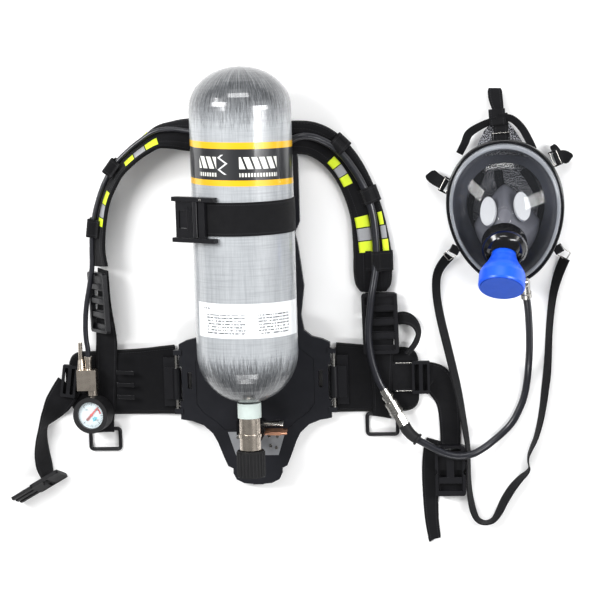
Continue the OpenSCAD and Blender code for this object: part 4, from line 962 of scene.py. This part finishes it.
MASK_BUCKLES = ((394.5, 378, 25, 26, 3), (308, 305, 31, 22, 62), (477.5, 343, 31, 22, -68))
for k, (x, y, z, w, angle) in enumerate(MASK_BUCKLES):
    turn, middle = turned(angle), Vector((x, y, z))
    for end in (-1, 1):
        box(f"mask_buckle_side_{k}_{end}", (2.6, 15, 4.5), middle + turn @ Vector((end * w / 2, 0, 0)), turn,
            gloss_m, "pack")
        bar = [middle + Vector((0, 0, 2.2)) + turn @ Vector((q * w / 2, end * 5.5, 0)) for q in (-1, 1)]
        wire(f"mask_buckle_bar_{k}_{end}", bar, 1.7)
CLIP = [(-8, 7), (8, 7), (9.5, 5), (9.5, -5), (8, -7), (-8, -7), (-9.5, -5), (-9.5, 5)]
for k, (cx, cy, angle, inward) in enumerate(((313, 196, 35, 1), (487, 194, -32, -1))):
    loop = [Vector((cx, cy, 15)) + turned(angle) @ Vector((x, y, 0.6 * y)) for x, y in CLIP]
    wire(f"side_clip_{k}", loop, 1.8, cyclic=True)
    box(f"side_lug_{k}", (15, 13, 8), (cx + 7 * inward, cy + 8, 27), turned(-28 * inward), gloss_m,
        "pack", 1.5)
strap("tab_right_lobe", [
    (484, 344, 15, 12, 0), (480, 352, 14, 12, 0), (475, 359, 13, 11, 0),
    (473, 362, 12.6, 7, 0)], "pack", (), webbing_plain, t=3)
strap("top_strap_fold", [
    (390.5, 396, 25, 25.5, 0), (389, 410, 21.3, 25.5, 0), (388.4, 420, 18.8, 25.5, 0)], "pack", t=3.2)
HEAD_STRAPS = (
    [(308, 304, 31, 18, 0), (300, 309, 22, 19, 0), (291, 314, 14, 20, 0), (284, 320, 12, 19, 0),
     (281.5, 323, 12, 12, 0)],
    [(477, 342, 31, 18, 0), (483, 344, 22, 19, 0), (490, 344, 14, 20, 0), (498, 341, 12, 18, 0),
     (501, 339, 12, 12, 0)],
    [(389, 404, 23, 11, 20), (368, 397, 21, 12, 20), (346, 384, 19, 13, 10), (338, 368, 21, 12, 0),
     (330, 353, 26, 11, 0)],
    [(392, 408, 23, 11, -20), (411, 405, 21, 12, -20), (426, 391, 20, 12, -10), (437, 372, 22, 12, 0),
     (444, 357, 26, 11, 0)])
for k, stations in enumerate(HEAD_STRAPS):
    strap(f"harness_wing_{k}", stations, "pack", (), webbing_plain)
strap("neck_strap", [
    (311, 193, 12, 18, 25), (298, 178, 10.5, 19, 40), (290, 160, 10.5, 20, 52),
    (289, 132, 10.5, 20, 56), (294, 96, 10.5, 20, 56), (304, 50, 10.5, 20, 56), (315, 0, 10.6, 20, 58),
    (321, -30, 10.8, 20, 62), (326, -62, 10.8, 20, 66), (330.5, -92, 10.8, 20, 70),
    (333, -112, 10.6, 20, 74), (333.4, -135, 10.6, 20, 76), (333.4, -160, 10.4, 20, 75),
    (334.5, -185, 10.2, 20, 70), (337.5, -206, 9.9, 20, 66), (341.5, -220, 9.9, 20, 69),
    (346.5, -228.5, 10.2, 20, 76), (355, -233, 10.4, 20, 81), (363.5, -232.5, 10.4, 20, 80),
    (372, -228, 10.1, 20, 72), (380, -216, 9.4, 20, 60), (389, -198, 9, 20, 55),
    (401, -179, 9.2, 20, 58), (414.5, -163, 9.8, 20, 68), (424, -154.5, 10.2, 20, 78),
    (428.8, -146.5, 10.4, 20, 85), (427.2, -136.5, 10.4, 20, 86), (428, -126, 10.4, 20, 84),
    (433, -113.5, 10.4, 20, 78), (440, -98, 10.2, 20, 72), (446.5, -75, 9.9, 20, 66),
    (451.5, -50, 9.6, 20, 61), (455.5, -22, 9.2, 20, 56), (458.5, 0, 9, 20, 54), (461, 28, 9.6, 20, 57),
    (464, 78, 10, 20, 60), (470, 126, 10, 20, 56), (479, 160, 11, 20, 45), (490, 186, 12, 18, 30)],
    "pack", (), webbing_plain, steps=4)

# ---------------------------------------------------------------- gauge face
GAUGE_LEAN = turned(-9, "Y", 4)
GAUGE_AT = Matrix.Translation((-258, -47, 42)) @ GAUGE_LEAN
NEEDLE_ANGLE = 48               # where the needle points, counted from the dial's right


def on_dial(name, points, faces, look, body="gauge"):
    """Flat mark placed in the gauge's own axes"""
    attach(new_mesh(name, [GAUGE_AT @ Vector(p) for p in points], faces, look, smooth=False), body)


def sector(name, a0, a1, r0, r1, z, look):
    """Part of a ring between two angles"""
    pts, faces, n = [], [], 14
    for k in range(n + 1):
        a = math.radians(a0 + (a1 - a0) * k / n)
        pts += [(r0 * math.cos(a), r0 * math.sin(a), z), (r1 * math.cos(a), r1 * math.sin(a), z)]
    for k in range(n):
        faces.append((2 * k, 2 * k + 1, 2 * k + 3, 2 * k + 2))
    on_dial(name, pts, faces, look)


ticks, tick_faces = [], []
for k in range(31):
    a = math.radians(-135 + 270 * k / 30)
    r0, w = (15.2, 0.45) if k % 5 == 0 else (17.0, 0.2)
    r1 = 19.2
    c, s = math.cos(a), math.sin(a)
    base = len(ticks)
    for r, e in ((r0, -w), (r1, -w), (r1, w), (r0, w)):
        ticks.append((r * c - e * s, r * s + e * c, 6.12))
    tick_faces.append((base, base + 1, base + 2, base + 3))
on_dial("dial_ticks", ticks, tick_faces, ink_m)
sector("dial_red_zone", 8, 42, 13.2, 16.0, 6.1, red_m)
sector("dial_cyan_zone", -78, -22, 5.0, 10.5, 6.08, cyan_m)
for k, value in enumerate(("0", "100", "200", "300")):
    a = math.radians(225 - 90 * k)
    data = bpy.data.curves.new(f"dial_number_{k}", "FONT")
    data.body = value
    data.size = 4.2 * MM
    data.align_x, data.align_y = "CENTER", "CENTER"
    data.materials.append(ink_m)
    o = bpy.data.objects.new(f"dial_number_{k}", data)
    scene.collection.objects.link(o)
    spot = GAUGE_AT @ Vector((11.6 * math.cos(a), 11.6 * math.sin(a), 6.14))
    o.matrix_world = Matrix.Translation(spot * MM) @ GAUGE_LEAN
    attach(o, "gauge")
TAIL = ((-0.9, -11.6), (0.9, -11.6), (0.45, 0), (-0.45, 0))
tail = [turned(NEEDLE_ANGLE - 90) @ Vector((x, y, 7.75)) for x, y in TAIL]
on_dial("needle_tail", tail, [(0, 1, 2, 3)], green_m, "needle")

# ---------------------------------------------------------------- floor
bpy.ops.mesh.primitive_plane_add(size=12, location=(0, 0, -0.0002))
floor = bpy.context.object
floor.name = "floor"
floor_m = bpy.data.materials.new("floor")
floor_m.use_nodes = True
floor_look = floor_m.node_tree.nodes["Principled BSDF"].inputs
floor_look["Base Color"].default_value = (0.93, 0.93, 0.93, 1)
floor_look["Roughness"].default_value = 0.7
floor.data.materials.append(floor_m)
